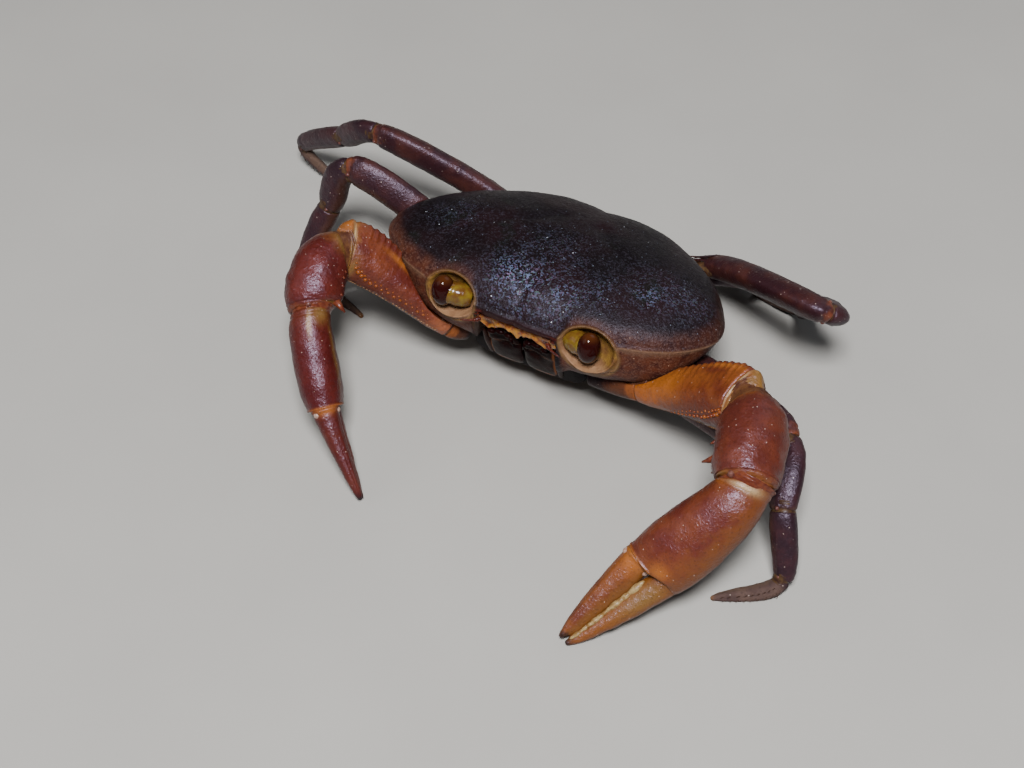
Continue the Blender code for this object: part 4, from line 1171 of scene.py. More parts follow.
for side, where in ((1, "left"), (-1, "right")):
    root = mirrored(ANTENNA_ROOT, side)
    start_way, end_way = (mirrored(way, side).normalized() for way in ANTENNA_WAYS)
    tip = root + (start_way * 0.4 + end_way).normalized() * ANTENNA_LENGTH
    bm = straight_tube(16, 90)
    surface = bent_tube(root, tip, start_way, end_way, 0.9, ANTENNA_SECTIONS, Vector((0.0, 0.0, 1.0)), 1.0)
    lay(bm, surface, lash_relief)
    finish_piece(bm, f"feeler_{where}", feeler_finish, f"antenna_{where}")
    bm = bmesh.new()
    for across, depth, size in INNER_FEELER:
        centre = Vector((side * across, depth, INNER_FEELER_HEIGHT))
        add_ball(bm, centre, (size * 1.2, size, size * 0.8), None, 3)
    finish_piece(bm, f"inner_feeler_{where}", feeler_finish)
print("feeler is", ANTENNA_LENGTH, "mm long")

# %% [markdown]
# ## Underside
# Nobody sees the underside in the photo, but the model can be picked up.  The breastplate is seven
# plates one behind the other with furrows between them.  Towards the mouth it is painted darker,
# as shade.

# %% Breastplate
THORAX_BOTTOM = 5.0
THORAX_HALF_WIDTHS = ((-9.6, 8.3), (-5.0, 9.4), (0.0, 9.3), (5.0, 8.6), (9.0, 6.6), (12.0, 5.2))
THORAX_FURROWS = (-6.6, -3.4, -0.2, 3.0, 6.2, 9.2)

bm = straight_tube(56, 70)
first, last = THORAX_HALF_WIDTHS[0][0], THORAX_HALF_WIDTHS[-1][0]
shade = bm.verts.layers.float.new("shade")
for vert in bm.verts:
    y = first + (last - first) * min(max(vert.co.z, 0.0), 1.0)
    half = smooth_curve(THORAX_HALF_WIDTHS, y)[0]
    top = UNDERSIDE_AT_MIDDLE - UNDERSIDE_SLOPE * y - GAP
    middle, height = (top + THORAX_BOTTOM) / 2.0, (top - THORAX_BOTTOM) / 2.0
    angle = math.atan2(vert.co.y, vert.co.x)
    x = signed_power(math.cos(angle), 0.4) * half
    z = signed_power(math.sin(angle), 0.4) * height
    slant = y + 0.10 * abs(x)
    furrow = max(hump(slant - place, 0.28) for place in THORAX_FURROWS)
    under = soft_step(0.2, -0.4, math.sin(angle))
    # Painted shade towards the mouth.
    vert[shade] = soft_step(-6.5, -8.5, y)
    inward = 0.3 * furrow * under * soft_step(1.5, 3.2, abs(x))
    narrowed = 1.0 - inward / half * soft_step(0.6, 0.95, abs(x) / half)
    vert.co = Vector((x * narrowed, y, middle + z + inward))
finish_piece(bm, "breastplate", breast_finish, "thorax")
print("furrows:", len(THORAX_FURROWS))

# %% [markdown]
# ## Tail plate
# The tail is folded under the body.  It is a narrow male tail of seven rings with the last one
# a rounded tip.  A closed tube is flattened and laid along a line from the rear edge forwards.

# %% Tail plate
ABDOMEN_THICKNESS = 1.1
ABDOMEN_LINE = (
    (0.0, 13.9, 8.4, 5.2),
    (0.2, 14.3, 6.8, 5.3),
    (0.4, 13.0, 4.7, 5.2),
    (0.55, 10.4, 3.7, 4.9),
    (0.8, 5.0, 3.8, 3.4),
    (1.0, 0.0, 3.9, 1.4),
)
TAIL_RINGS = (0.12, 0.27, 0.42, 0.56, 0.69, 0.82)

bm = straight_tube(40, 110)
for vert in bm.verts:
    t = min(max(vert.co.z, 0.0), 1.0)
    y, z, half = smooth_curve(ABDOMEN_LINE, t)
    ahead_y, ahead_z, _ = smooth_curve(ABDOMEN_LINE, min(t + 0.01, 1.0))
    back_y, back_z, _ = smooth_curve(ABDOMEN_LINE, max(t - 0.01, 0.0))
    way = Vector((0.0, ahead_y - back_y, ahead_z - back_z)).normalized()
    outward = Vector((0.0, way.z, -way.y))
    furrow = max(hump(t - place, 0.010) for place in TAIL_RINGS)
    half *= 1.0 - 0.5 * soft_step(0.94, 1.0, t) - 0.03 * furrow
    angle = math.atan2(vert.co.y, vert.co.x)
    x = signed_power(math.cos(angle), 0.5) * half
    out = signed_power(math.sin(angle), 0.5) * (ABDOMEN_THICKNESS / 2.0 - 0.28 * furrow)
    vert.co = Vector((x, y, z)) + outward * out
finish_piece(bm, "tail_plate", breast_finish, "abdomen")
print("tail rings:", len(TAIL_RINGS) + 1)

# %% [markdown]
# ## The limbs' joints
# Ten limbs of five or six pieces each carry the crab.  Every limb is a line of joints taken from
# the pose, and each piece is a bent tube between two of them.  Where pieces meet, both run along
# the same direction, so that their ends stay face to face.  Sections are given as a place along
# the piece with half its height and half its thickness.  The last table says where the claws have
# coloured patches: the colour, the place along the piece, the angle round it in degrees, and how
# long and how wide the patch is.

# %% Joints of the limbs
LIMBS = {
    "claw_right": ((-8.9, -9.0, 7.4), (-11.5, -10.9, 9.2), (-25.6, -15.3, 20.2),
                   (-24.7, -24.4, 16.0), (-18.6, -31.3, 7.6), (-10.3, -37.2, 0.5)),
    "claw_left": ((8.9, -9.0, 7.4), (17.0, -10.0, 9.9), (33.4, -15.0, 19.1),
                  (37.4, -25.8, 16.8), (30.0, -34.9, 6.9), (23.2, -44.9, 0.5)),
    "leg2_right": ((-9.9, -4.7, 7.3), (-14.5, -5.2, 7.9), (-31.0, -5.5, 8.0),
                   (-33.0, -12.5, 8.5), (-29.0, -21.0, 5.5), (-23.0, -27.5, 0.25)),
    "leg2_left": ((9.9, -4.7, 7.0), (14.5, -5.0, 6.5), (33.0, -10.8, 6.5),
                  (35.5, -18.6, 7.6), (33.0, -27.6, 3.6), (27.0, -35.2, 0.25)),
    "leg3_right": ((-9.9, -0.3, 7.3), (-15.0, 2.4, 8.6), (-34.0, 1.3, 18.0),
                   (-37.2, 0.2, 10.6), (-39.3, -3.4, 2.3), (-27.5, -8.1, 0.25)),
    "leg3_left": ((9.9, -0.3, 7.6), (15.5, -1.4, 8.4), (38.3, -13.0, 13.4),
                  (41.2, -20.5, 9.6), (43.6, -24.5, 1.9), (36.5, -30.4, 0.25)),
    "leg4_right": ((-9.3, 4.4, 7.5), (-13.0, 11.8, 9.4), (-34.6, 9.8, 18.0),
                   (-42.1, 12.3, 12.7), (-51.5, 15.4, 4.9), (-43.9, 14.2, 0.25)),
    "leg4_left": ((9.3, 4.4, 7.5), (14.7, 14.6, 9.8), (35.1, 7.4, 16.7),
                  (31.6, 13.8, 10.6), (27.6, 20.2, 2.4), (19.6, 22.4, 0.25)),
    "leg5_right": ((-7.9, 8.9, 6.8), (-10.0, 15.6, 6.0), (-22.0, 15.0, 6.6),
                   (-23.6, 17.8, 3.7), (-17.5, 21.6, 1.5), (-10.5, 21.0, 0.25)),
    "leg5_left": ((7.9, 8.9, 6.8), (11.5, 16.4, 5.4), (21.5, 19.4, 6.2),
                  (20.6, 22.0, 2.9), (14.2, 22.6, 1.4), (7.2, 21.8, 0.25)),
}
JOINT_SHARE = (0.5, 0.5, 0.5, 0.35)
LEG_SECTIONS = {
    "base": ((0.0, 1.55, 1.35), (0.5, 1.85, 1.5), (1.0, 1.75, 1.3)),
    "merus": ((0.0, 1.8, 1.6), (0.2, 2.3, 1.95), (0.6, 2.5, 2.0), (0.9, 2.3, 1.85), (1.0, 1.8, 1.55)),
    "carpus": ((0.0, 1.75, 1.5), (0.3, 1.95, 1.75), (0.75, 2.0, 1.8), (1.0, 1.7, 1.6)),
    "propodus": ((0.0, 1.65, 1.55), (0.3, 1.8, 1.65), (0.8, 1.55, 1.4), (1.0, 1.2, 1.1)),
    "dactylus": ((0.0, 1.1, 0.9), (0.3, 1.15, 0.85), (0.7, 0.8, 0.6), (1.0, 0.3, 0.3)),
}
LEG_SCALE = {"leg2": 0.86, "leg3": 1.0, "leg4": 0.94, "leg5": 0.74}
CLAW_SECTIONS = {
    "base": ((0.0, 1.5, 1.4), (0.6, 2.0, 1.8), (1.0, 2.0, 1.75)),
    "carpus": ((0.0, 2.6, 2.5), (0.25, 3.5, 3.6), (0.65, 3.9, 4.0), (0.92, 3.3, 3.4), (1.0, 2.9, 2.9)),
    "palm": ((0.0, 2.9, 2.6), (0.2, 3.25, 2.9), (0.65, 3.9, 3.0), (1.0, 3.5, 2.4)),
    "finger": ((0.0, 1.8, 1.9), (0.3, 1.5, 1.45), (0.7, 0.85, 0.85), (1.0, 0.28, 0.32)),
}
CLAW_SCALE = {"claw_left": 1.16, "claw_right": 0.97}
MERUS_SECTIONS = {
    "claw_left": ((0.0, 2.1, 2.0), (0.3, 2.8, 2.6), (0.5, 3.6, 2.9),
                  (0.7, 4.3, 3.1), (0.92, 4.2, 2.9), (1.0, 2.6, 2.2)),
    "claw_right": ((0.0, 1.9, 1.75), (0.3, 2.5, 2.2), (0.5, 3.2, 2.5),
                   (0.7, 3.8, 2.6), (0.92, 3.8, 2.4), (1.0, 2.4, 1.85)),
}
CARPUS_PULL = {"claw_left": 0.45, "claw_right": 0.9}
CLAW_UP = {
    "claw_left": {"merus": (-0.19, 0.71, 0.67), "carpus": (-0.6, 0.4, 0.7), "palm": (-0.83, 0.19, 0.52)},
    "claw_right": {"merus": (0.155, 0.79, 0.59), "carpus": (0.2, -0.1, 0.97), "palm": (0.32, -0.6, 0.73)},
}
PATCHES = {
    "claw_right_arm": (
        ("ochre", 0.55, 36.0, 0.10, 9.0), ("olive", 0.84, -35.0, 0.05, 26.0),
        ("cream", 0.90, 30.0, 0.010, 40.0), ("ochre", 0.975, 0.0, 0.02, 22.0),
        ("olive", 0.93, -10.0, 0.03, 40.0), ("ochre", 0.93, 60.0, 0.03, 20.0),
    ),
    "claw_right_wrist": (
        ("olive", 0.03, 60.0, 0.05, 45.0), ("olive", 0.93, 20.0, 0.05, 22.0),
    ),
    "claw_right_hand": (
        ("olive", 0.03, 55.0, 0.035, 30.0), ("cream", 0.07, 88.0, 0.05, 4.0),
        ("ochre", 0.485, 80.0, 0.014, 70.0), ("olive", 0.22, 22.0, 0.16, 7.0),
        ("dusk", 1.0, 0.0, 0.05, 400.0),
    ),
    "claw_right_upper_finger": (
        ("ochre", 0.06, 80.0, 0.06, 45.0),
    ),
    "claw_left_arm": (
        ("ochre", 0.70, 118.0, 0.16, 10.0), ("olive", 0.95, 130.0, 0.03, 40.0),
        ("cream", 0.90, 155.0, 0.010, 35.0), ("ochre", 0.30, 160.0, 0.20, 50.0),
    ),
    "claw_left_wrist": (
        ("ochre", 0.03, 140.0, 0.06, 50.0), ("olive", 0.96, 120.0, 0.03, 20.0),
    ),
    "claw_left_hand": (
        ("cream", 0.018, 0.0, 0.010, 34.0), ("ochre", 0.03, 90.0, 0.02, 40.0),
        ("ochre", 0.43, -5.0, 0.05, 16.0), ("ochre", 0.485, 40.0, 0.012, 60.0),
        ("olive", 0.62, 0.0, 0.12, 50.0), ("dusk", 1.0, 0.0, 0.045, 400.0),
    ),
    "claw_left_upper_finger": (
        ("cream", 0.03, -70.0, 0.05, 16.0), ("ochre", 0.12, 20.0, 0.14, 60.0),
    ),
}
dice = random.Random(5)


def slanted(surface, way, angle, full, none):
    """Slide one side of a piece's end along the limb, so that the joint runs aslant."""

    def place(t, turn, proud=0.0):
        share = soft_step(none, full, t) * (0.5 + 0.5 * math.cos(turn - math.radians(angle)))
        return surface(t, turn, proud) - way * share

    return place


def joint_ways(joints):
    """The direction of each piece, and the direction in which the limb passes each joint."""
    ways = [(second - first).normalized() for first, second in zip(joints, joints[1:])]
    through = [Vector((math.copysign(1.0, joints[0].x), 0.0, 0.2)).normalized()]
    for index, share in enumerate(JOINT_SHARE):
        through.append((ways[index] * (1.0 - share) + ways[index + 1] * share).normalized())
    through.append(ways[-1])
    return ways, through


def scaled(sections, factor):
    """Sections of a limb made larger or smaller."""
    return tuple((t, height * factor, thickness * factor) for t, height, thickness in sections)


def across_from_up(way, up):
    """The thickness direction of a limb whose height points as nearly as it can to up."""
    up = Vector(up)
    return (up - way * up.dot(way)).normalized().cross(way)


def limb_tube(joints, through, index, sections, across, pull, keel=0.0):
    """The bent tube of a limb's piece, which stops half a gap short of each joint."""
    start = joints[index] + through[index] * GAP / 2.0
    end = joints[index + 1] - through[index + 1] * (0.0 if index + 2 == len(joints) else GAP / 2.0)
    return bent_tube(start, end, through[index], through[index + 1], pull, sections, across, 0.9, keel)


print("limbs:", len(LIMBS))

# %% [markdown]
# ## Limb pieces, joint skin and knobs
# A piece is laid on its bent tube with relief, kept clear of the shell by pushing its points out
# to a small gap, and flattened where it stands on the floor.  The joints get a soft skin that
# shows in the groove between two pieces, and two hard knobs that they turn on.

# %% One piece of a limb
CLEARANCE = 0.35
NEAR_SHELL = 6.0
SKIN_FROM = 0.86
SKIN_TO = 0.12
SKIN_WAIST = 0.9
BOTH_SIDES = (0.0, 180.0)
TOP_AND_BOTTOM = (90.0, 270.0)


def limb_piece(name, surface, finish, solid, relief, around, rings, spacing=end_spacing):
    """Lay a tube on a surface with its relief and patches and finish it as a piece of the crab."""
    bm = straight_tube(around, rings)
    lay(bm, surface, relief, spacing, PATCHES.get(name, ()))
    for vert in bm.verts:
        nearest, normal, _, distance = shell_tree.find_nearest(vert.co)
        depth = (vert.co - nearest).dot(normal)
        if distance < NEAR_SHELL and depth < CLEARANCE:
            vert.co = nearest + normal * CLEARANCE
        vert.co.z = max(vert.co.z, 0.0)
    return finish_piece(bm, name, finish, solid)


def joint_skin(name, before, after, through, squeeze, finish, around=28):
    """A soft short tube inside the ends of two pieces."""
    middles = []
    sizes = []
    for surface, t in ((before, SKIN_FROM), (after, SKIN_TO)):
        left, right = surface(t, 0.0), surface(t, math.pi)
        middles.append((left + right) / 2.0)
        tall = (surface(t, math.pi / 2) - surface(t, -math.pi / 2)).length / 2.0
        wide = (left - right).length / 2.0
        sizes.append((tall * squeeze, wide * squeeze))
    waist = [SKIN_WAIST * (sizes[0][axis] + sizes[1][axis]) / 2.0 for axis in range(2)]
    sections = ((0.0, *sizes[0]), (0.5, *waist), (1.0, *sizes[1]))
    across = (before(1.0, 0.0) - before(1.0, math.pi)).normalized()
    bm = straight_tube(around, 24)
    surface = bent_tube(*middles, through, through, 1.0, sections, across)
    lay(bm, surface, lambda t, angle, spot: 0.05 * math.sin(t * 40.0) + 0.06 * noise.noise(spot * 2.0))
    for vert in bm.verts:
        vert.co.z = max(vert.co.z, 0.05)
    finish_piece(bm, name, finish)


def joint_knobs(name, surface, angles, radius, finish, t=0.985):
    """Hard round knobs on both sides of a joint."""
    bm = bmesh.new()
    for angle in angles:
        add_ball(bm, surface(t, math.radians(angle), -0.45 * radius), (radius, radius, radius), None, 3)
    finish_piece(bm, name, finish)


print("knobs at the angles", BOTH_SIDES)

# %% [markdown]
# ## Walking legs
# A walking leg is flattened in the plane in which it bends, and its long second piece has a keel
# along the top.  The toes are felted, with four rows of small dark spines, and end in a bare hard
# tip.  The relief is low: fine ripples on the keel, a groove along the shin and the toe's flutes.

# %% Walking legs
LEG_PIECES = (
    ("base", 0.6, 0.0, base_finish, 24),
    ("merus", 0.5, 0.35, thigh_finish, 72),
    ("carpus", 1.0, 0.3, shin_finish, 38),
    ("propodus", 0.5, 0.2, shin_finish, 50),
    ("dactylus", 0.8, 0.0, toe_finish, 56),
)
LEG_KNOBS = ((1, 0.34), (2, 0.30), (3, 0.26))
LEG_SKIN_SQUEEZE = 0.93
SPINE_ROWS = (30.0, 75.0, 105.0, 150.0)
SPINES_PER_ROW = 9
SPINES_FROM = 0.16
SPINES_SPAN = 0.72


def round_top(angle, width):
    """1 along the top of a piece, fading to both sides."""
    from_top = angle - math.pi / 2.0
    return hump(math.atan2(math.sin(from_top), math.cos(from_top)), width)


def leg_relief(piece):
    """The relief of one kind of piece of a leg."""

    def relief(t, angle, spot):
        top = round_top(angle, 0.5)
        height = 0.06 * noise.noise(spot * 0.9) + 0.03 * noise.noise(spot * 2.3)
        if piece == "merus":
            height += 0.05 * top * math.sin(t * 95.0) * soft_step(0.05, 0.2, t)
            height -= 0.10 * hump(t - 0.955, 0.010) + 0.05 * hump(t - 0.05, 0.015)
        if piece in ("carpus", "propodus"):
            height -= 0.14 * hump(abs(math.sin(angle)) - 0.25, 0.16) * soft_step(0.08, 0.25, t)
            height += 0.10 * top * soft_step(0.1, 0.3, t)
        if piece == "dactylus":
            height += 0.06 * math.cos(4.0 * angle) * soft_step(0.02, 0.2, t) * soft_step(0.97, 0.8, t)
        return height

    return relief


for name, points in LIMBS.items():
    if not name.startswith("leg"):
        continue
    joints = [Vector(point) for point in points]
    ways, through = joint_ways(joints)
    across = ways[1].cross(ways[2]).normalized()
    scale = LEG_SCALE[name[:4]]
    surfaces = []
    for index, (piece, pull, keel, finish, rings) in enumerate(LEG_PIECES):
        sections = scaled(LEG_SECTIONS[piece], scale)
        surface = limb_tube(joints, through, index, sections, across, pull, keel)
        surfaces.append(surface)
        solid = f"{name}_{piece}"
        limb_piece(f"{solid}_fine", surface, finish, solid, leg_relief(piece), 32, rings)
    for index in range(4):
        near, far = surfaces[index : index + 2]
        skin_name = f"{name}_skin_{index}"
        joint_skin(skin_name, near, far, through[index + 1], LEG_SKIN_SQUEEZE, leg_skin_finish, 20)
    for index, size in LEG_KNOBS:
        knobs_name = f"{name}_knobs_{index}"
        joint_knobs(knobs_name, surfaces[index], BOTH_SIDES, size * scale, knob_finish)
    bm = bmesh.new()
    for row in SPINE_ROWS:
        for place in range(SPINES_PER_ROW):
            t = SPINES_FROM + SPINES_SPAN * (place + dice.uniform(-0.25, 0.25)) / SPINES_PER_ROW
            root = surfaces[4](t, math.radians(row), -0.15)
            out = surfaces[4](t + 0.05, math.radians(row), 0.28 * scale)
            if out.z > 0.3:
                add_spine(bm, root, out, 0.11 * scale, 0.03, 5)
    finish_piece(bm, f"{name}_spines", spinule_finish)
print("pieces so far:", len(made_pieces))

# %% [markdown]
# ## Upper arms of the claws
# The first long piece of a claw is three sided.  Its upper ridge carries short cross ridges, its
# lower edge is a thin pale saw, and above that runs a double row of orange beads, which grow
# towards the wrist.  The rows bend, so each is given as angles at a few places along the arm.

# %% Bases and upper arms
BEADS_PER_ROW = 15
BEAD_LINES = {
    "claw_left": ((0.34, -106.0), (0.50, -122.0), (0.70, -139.0), (0.90, -160.0)),
    "claw_right": ((0.20, -32.0), (0.45, -38.0), (0.66, -42.0), (0.84, -22.0)),
}
BEAD_STEP_UP = {"claw_left": -13.0, "claw_right": 11.0}
SAW_LINES = {
    "claw_left": ((0.10, -92.0), (0.50, -98.0), (0.88, -106.0)),
    "claw_right": ((0.10, -62.0), (0.45, -72.0), (0.88, -84.0)),
}
SAW_TEETH = 34
SAW_FROM = 0.10
SAW_SPAN = 0.76
CLAW_SKIN_SQUEEZE = 0.90
CLAW_KNOB = 0.42
SLANTS = {"claw_left": (1.6, -15.0, -75.0), "claw_right": (1.4, 20.0, 20.0)}
CLAW_SKINS = (skin_finish, skin_finish, denticle_finish)


def arm_relief(t, angle, spot):
    """Lumps, cross ridges on the upper side, and a groove with a rim before the wrist."""
    top = round_top(angle, 0.85)
    height = 0.08 * noise.noise(spot * 0.8) + 0.05 * noise.noise(spot * 2.2)
    ridges = max(math.sin(t * 135.0 + 1.2 * math.cos(angle)), -0.3)
    height += 0.13 * top * ridges * soft_step(0.25, 0.45, t) * soft_step(0.86, 0.80, t)
    height -= 0.22 * hump(t - 0.885 - 0.02 * math.cos(angle), 0.009)
    height += 0.12 * hump(t - 0.91 - 0.02 * math.cos(angle), 0.012)
    return height


claws = {}
for name in ("claw_left", "claw_right"):
    joints = [Vector(point) for point in LIMBS[name]]
    ways, through = joint_ways(joints)
    scale = CLAW_SCALE[name]
    ups = CLAW_UP[name]
    surfaces = []
    for index, (sections, pull, up, keel) in enumerate(
        (
            (CLAW_SECTIONS["base"], 0.6, "merus", 0.0),
            (MERUS_SECTIONS[name], 0.6, "merus", 0.5),
            (scaled(CLAW_SECTIONS["carpus"], scale), CARPUS_PULL[name], "carpus", 0.1),
        )
    ):
        across = across_from_up(ways[index], ups[up])
        surfaces.append(limb_tube(joints, through, index, sections, across, pull, keel))
    across = across_from_up(ways[3], ups["palm"])
    surfaces.append(limb_tube(joints, through, 3, scaled(CLAW_SECTIONS["palm"], scale), across, 0.5))
    slant, wrist_side, hand_side = SLANTS[name]
    surfaces[2] = slanted(surfaces[2], through[3] * slant, wrist_side, 1.0, 0.70)
    surfaces[3] = slanted(surfaces[3], through[3] * slant, hand_side, 0.0, 0.16)
    claws[name] = (joints, ways, through, scale, ups, surfaces, across)

    limb_piece(f"{name}_base_fine", surfaces[0], base_finish, f"{name}_base", None, 40, 40)
    finish = claw_finishes["arm", name]
    limb_piece(f"{name}_arm", surfaces[1], finish, f"{name}_merus", arm_relief, 84, 220)
    bm = bmesh.new()
    first, last = BEAD_LINES[name][0][0], BEAD_LINES[name][-1][0]
    for row, step_up in enumerate((0.0, BEAD_STEP_UP[name])):
        for place in range(BEADS_PER_ROW):
            share = (place + 0.5 * row) / BEADS_PER_ROW
            t = first + (last - first) * share
            angle = smooth_curve(BEAD_LINES[name], t)[0] + step_up * (1.0 - 0.4 * share)
            size = (0.20 + 0.14 * share) * (1.0 - 0.35 * row) * dice.uniform(0.8, 1.15)
            spot = surfaces[1](t, math.radians(angle + dice.uniform(-2.0, 2.0)), -0.2 * size)
            add_ball(bm, spot, (size, size, size), None, 2)
    finish_piece(bm, f"{name}_beads", bead_finish)
    bm = bmesh.new()
    for place in range(SAW_TEETH):
        t = SAW_FROM + SAW_SPAN * place / (SAW_TEETH - 1)
        angle = math.radians(smooth_curve(SAW_LINES[name], t)[0])
        add_ball(bm, surfaces[1](t, angle, -0.08), (0.20, 0.20, 0.16), None, 2)
    finish_piece(bm, f"{name}_saw", rim_finish)
    for index in range(3):
        near, far = surfaces[index : index + 2]
        skin_name = f"{name}_skin_{index}"
        joint_skin(skin_name, near, far, through[index + 1], CLAW_SKIN_SQUEEZE, CLAW_SKINS[index])
    joint_knobs(f"{name}_knobs_1", surfaces[1], BOTH_SIDES, CLAW_KNOB * scale, knob_finish)
    joint_knobs(f"{name}_knobs_2", surfaces[2], TOP_AND_BOTTOM, CLAW_KNOB * scale, knob_finish)
print("pieces so far:", len(made_pieces))

# %% [markdown]
# ## Wrists
# The wrist is a rounded block.  A strong red spine stands on its inner side, with a few low teeth
# beside it.  Both are placed by their share of the length, their angle and how far they lean.

# %% Wrists
SPINE_LENGTH = 1.6
SPINE_RADIUS = 0.75
CARPUS_SPINE_AT = {"claw_left": (0.58, 165.0, 0.26), "claw_right": (0.77, 8.0, 0.70)}
SMALL_SPINES_AT = {
    "claw_left": ((0.46, 150.0, 0.6), (0.36, 160.0, 0.35), (0.66, 172.0, 0.35), (0.74, 165.0, 0.3)),
    "claw_right": ((0.34, 18.0, 0.3), (0.45, 22.0, 0.4), (0.56, 14.0, 0.3), (0.68, 12.0, 0.35)),
}


def wrist_relief(t, angle, spot):
    """Lumps, a hollow on the inner side of the left wrist, and a groove before the hand."""
    height = 0.16 * noise.noise(spot * 0.55) + 0.06 * noise.noise(spot * 1.9)
    if spot.x > 0.0:
        height -= 0.7 * max(math.cos(angle), 0.0) * hump(t - 0.75, 0.25)
    height += 0.08 * max(noise.noise(spot * 3.4), 0.0) * soft_step(0.1, 0.3, t)
    return height - 0.16 * hump(t - 0.93, 0.012)


for name, (joints, ways, through, scale, ups, surfaces, across) in claws.items():
    wrist = surfaces[2]
    finish = claw_finishes["wrist", name]
    limb_piece(f"{name}_wrist", wrist, finish, f"{name}_carpus", wrist_relief, 84, 110)
    bm = bmesh.new()
    t, angle, lean = CARPUS_SPINE_AT[name]
    angle = math.radians(angle)
    out = (wrist(t, angle, 1.0) - wrist(t, angle)).normalized()
    way = (out * math.sqrt(1.0 - lean * lean) + through[3] * lean).normalized()
    root = wrist(t, angle, -SPINE_RADIUS)
    add_spine(bm, root, root + way * (SPINE_LENGTH + SPINE_RADIUS), SPINE_RADIUS, 0.10, 20)
    for t, angle, length in SMALL_SPINES_AT[name]:
        root = wrist(t, math.radians(angle), -0.2)
        add_spine(bm, root, root + (out + through[3] * 0.5).normalized() * (length + 0.2), 0.30, 0.06, 10)
    finish_piece(bm, f"{name}_wrist_spines", denticle_finish)
print("pieces so far:", len(made_pieces))

# %% [markdown]
# ## Hands with their lower finger
# The lower finger grows out of the hand without a joint.  Two tubes would leave a collar where
# they meet, so the hand's tube turns into the finger's along the way: slowly on the lower side,
# and at once on the upper side, where the face for the hinged finger is.  The rings of the mesh
# gather at that face.

# %% Hands
FINGER_SPREAD = 1.85
TIP_SPREAD = 0.5
TIP_CURL = 0.3
FINGER_SUNK = 2.5
FACE_AT = 0.5
FINGER_FROM = 0.42
CLOSING = 0.35
FINGER_PULL = 0.6
HINGE_SUNK = 0.45
RINGS_GATHER = 0.85


def hand_spacing(share):
    """Rings gather at both ends and at the face for the hinged finger."""
    t = end_spacing(share)
    return t + RINGS_GATHER / (2.0 * math.pi) * math.sin(2.0 * math.pi * t)


def hand_with_finger(palm, finger):
    """One surface that starts as the hand and ends as its lower finger."""

    def place(t, angle, proud=0.0):
        upper = soft_step(-0.5, 0.2, math.sin(angle))
        start = FINGER_FROM + (FACE_AT - 0.010 - FINGER_FROM) * upper
        end = FACE_AT + 0.06 - 0.052 * upper
        share = soft_step(start, end, t)
        spot = palm(min(t / FACE_AT, 1.0), angle, proud)
        if share > 0.0:
            spot = spot.lerp(finger(max(t - FINGER_FROM, 0.0) / (1.0 - FINGER_FROM), angle, proud), share)
        return spot

    return place


def hand_relief(t, angle, spot):
    """Lumps, a groove behind the wrist, a rim at the face, and a raised edge where fingers meet."""
    height = 0.09 * noise.noise(spot * 0.6) + 0.04 * noise.noise(spot * 1.8)
    height -= 0.14 * hump(t - 0.028, 0.006)
    height += 0.16 * hump(t - FACE_AT + 0.018, 0.010) * soft_step(-0.2, 0.3, math.sin(angle))
    on_finger = soft_step(0.55, 0.65, t) * soft_step(0.99, 0.9, t)
    return height + CLOSING * on_finger * round_top(angle, 0.5)


def finger_relief(t, angle, spot):
    """A collar at the hinge, long grooves, and a raised edge where the fingers meet."""
    height = 0.05 * noise.noise(spot * 1.0) + 0.12 * hump(t - 0.05, 0.02)
    ends = soft_step(0.1, 0.3, t) * soft_step(0.98, 0.8, t)
    height -= 0.08 * hump(math.sin(2.0 * angle) - 0.7, 0.25) * ends
    return height + 2.0 * CLOSING * ends * round_top(-angle, 0.6)


fingers = {}
for name, (joints, ways, through, scale, ups, surfaces, across) in claws.items():
    up = ways[3].cross(across)
    tip_way = (joints[5] - joints[4]).normalized()
    tip_up = tip_way.cross(across_from_up(tip_way, ups["palm"]))
    sections = scaled(CLAW_SECTIONS["finger"], scale)
    tubes = []
    for side, sunk in ((-1, FINGER_SUNK), (1, HINGE_SUNK)):
        tubes.append(
            bent_tube(
                joints[4] + up * (side * FINGER_SPREAD * scale) - through[4] * sunk,
                joints[5] + tip_up * (side * TIP_SPREAD),
                through[4],
                (tip_way - tip_up * (side * TIP_CURL)).normalized(),
                FINGER_PULL,
                sections,
                across,
            )
        )
    fixed, moving = tubes
    hand = hand_with_finger(surfaces[3], fixed)
    fingers[name] = (hand, moving)
    finish = claw_finishes["hand", name]
    limb_piece(f"{name}_hand", hand, finish, f"{name}_palm", hand_relief, 72, 240, hand_spacing)
    finish = claw_finishes["finger", name]
    limb_piece(f"{name}_upper_finger", moving, finish, f"{name}_finger", finger_relief, 48, 100)
print("pieces so far:", len(made_pieces))

# %% [markdown]
# ## Teeth of the fingers
# Where the fingers meet, low broad cream teeth stand in a row on the lower finger.  Each is an
# oval ball laid along the finger and sunk into it, every fourth one a little bigger.

# %% Teeth and finger knobs
TEETH_PER_FINGER = 15
TEETH_FROM = 0.60
TEETH_SPAN = 0.34
TOOTH_LINES = {
    "claw_left": ((0.60, 62.0), (0.75, 58.0), (0.94, 40.0)),
    "claw_right": ((0.60, 118.0), (0.75, 122.0), (0.94, 140.0)),
}
FINGER_KNOBS_AT = {"claw_left": (-62.0, 75.0), "claw_right": (135.0, 5.0)}
FINGER_KNOB = 0.46

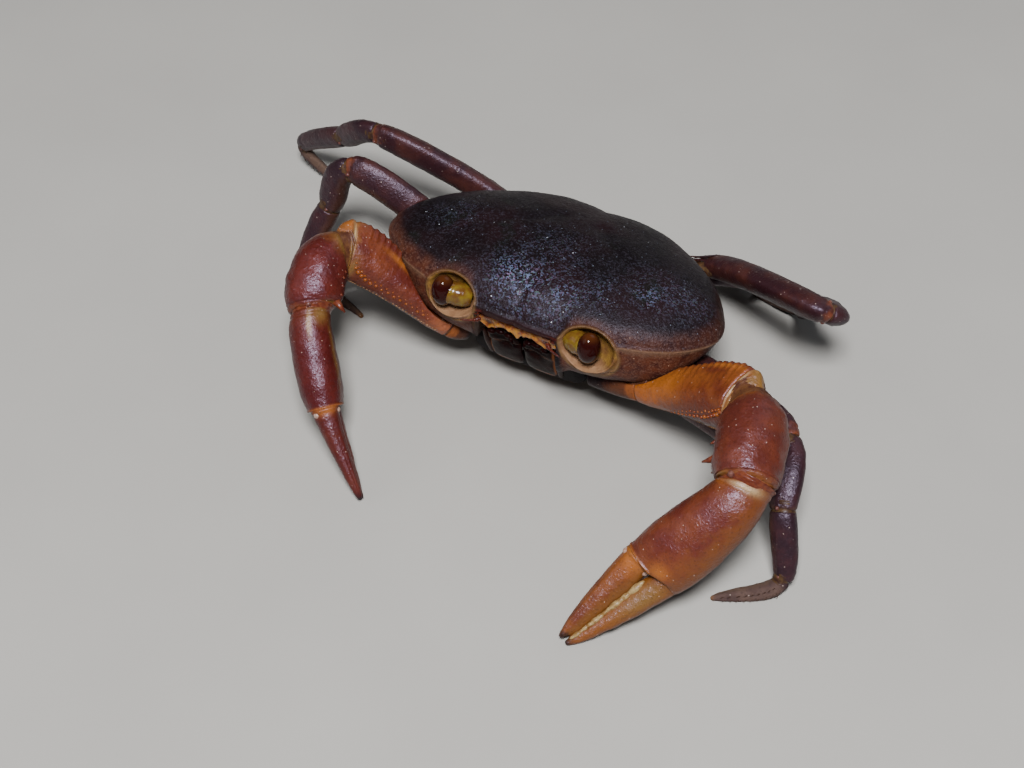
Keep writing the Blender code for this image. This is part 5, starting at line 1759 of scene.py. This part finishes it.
for name, (hand, moving) in fingers.items():
    scale = CLAW_SCALE[name]
    bm = bmesh.new()
    for place in range(TEETH_PER_FINGER):
        share = place / (TEETH_PER_FINGER - 1)
        size = scale * (1.0 - 0.45 * share) * (1.25 if place % 4 == 1 else dice.uniform(0.7, 1.0))
        t = TEETH_FROM + TEETH_SPAN * share
        angle = math.radians(smooth_curve(TOOTH_LINES[name], t)[0])
        spot = hand(t, angle, CLOSING * 0.6 - 0.10 * size)
        way = hand(t + 0.01, angle) - hand(t - 0.01, angle)
        if spot.z > 0.6:
            turn = way.to_track_quat("X", "Z").to_matrix()
            add_ball(bm, spot, (0.80 * size, 0.38 * size, 0.34 * size), turn, 2)
    finish_piece(bm, f"{name}_teeth", tooth_finish)
    angles, size = FINGER_KNOBS_AT[name], FINGER_KNOB * scale
    joint_knobs(f"{name}_knobs_3", moving, angles, size, pale_knob_finish, 0.085)
print("pieces so far:", len(made_pieces))

# %% [markdown]
# ## Floor and light
# The crab stands on a plain pale floor.  The photo was lit by a flash just above the lens, which
# puts a small highlight on everything that faces up and forward.  One small lamp on the camera's
# side does the same, a broad one fills the shadows, and a third from behind draws the dark shell's
# edge away from the floor.

# %% Floor and lamps
FLOOR_HALF = 1.5
SKY = (0.80, 0.83, 0.88, 1.0)
SKY_STRENGTH = 0.07

bm = bmesh.new()
bmesh.ops.create_grid(bm, x_segments=2, y_segments=2, size=FLOOR_HALF)
floor_mesh = bpy.data.meshes.new("floor")
bm.to_mesh(floor_mesh)
bm.free()
floor = bpy.data.objects.new("floor", floor_mesh)
bpy.context.scene.collection.objects.link(floor)
floor_finish, tree, shader, place = new_finish("floor_pale", 0.75)
paint(tree, shader, mix(tree, cloud(tree, place, 30.0, 5.0), (0.30, 0.29, 0.275), (0.35, 0.34, 0.32)))
floor_mesh.materials.append(floor_finish)


def add_lamp(name, azimuth, elevation, distance, size, watts, colour=(1.0, 1.0, 1.0)):
    """A square lamp that looks at the crab from a direction given in degrees."""
    place = direction(azimuth, elevation) * distance
    lamp = bpy.data.objects.new(name, bpy.data.lights.new(name, "AREA"))
    lamp.data.shape = "SQUARE"
    lamp.data.size = size
    lamp.data.energy = watts
    lamp.data.color = colour
    lamp.matrix_world = Matrix.Translation(place) @ place.to_track_quat("Z", "Y").to_matrix().to_4x4()
    bpy.context.scene.collection.objects.link(lamp)


add_lamp("flash", 26.0, 60.0, 0.55, 0.12, 6.5)
add_lamp("fill", -55.0, 40.0, 0.9, 0.6, 1.2, (1.0, 0.97, 0.93))
add_lamp("rim", 165.0, 38.0, 0.8, 0.5, 0.9, (0.90, 0.94, 1.0))
world = bpy.context.scene.world or bpy.data.worlds.new("world")
bpy.context.scene.world = world
world.use_nodes = True
sky = world.node_tree.nodes["Background"]
sky.inputs["Color"].default_value = SKY
sky.inputs["Strength"].default_value = SKY_STRENGTH
print("pieces:", len(made_pieces))
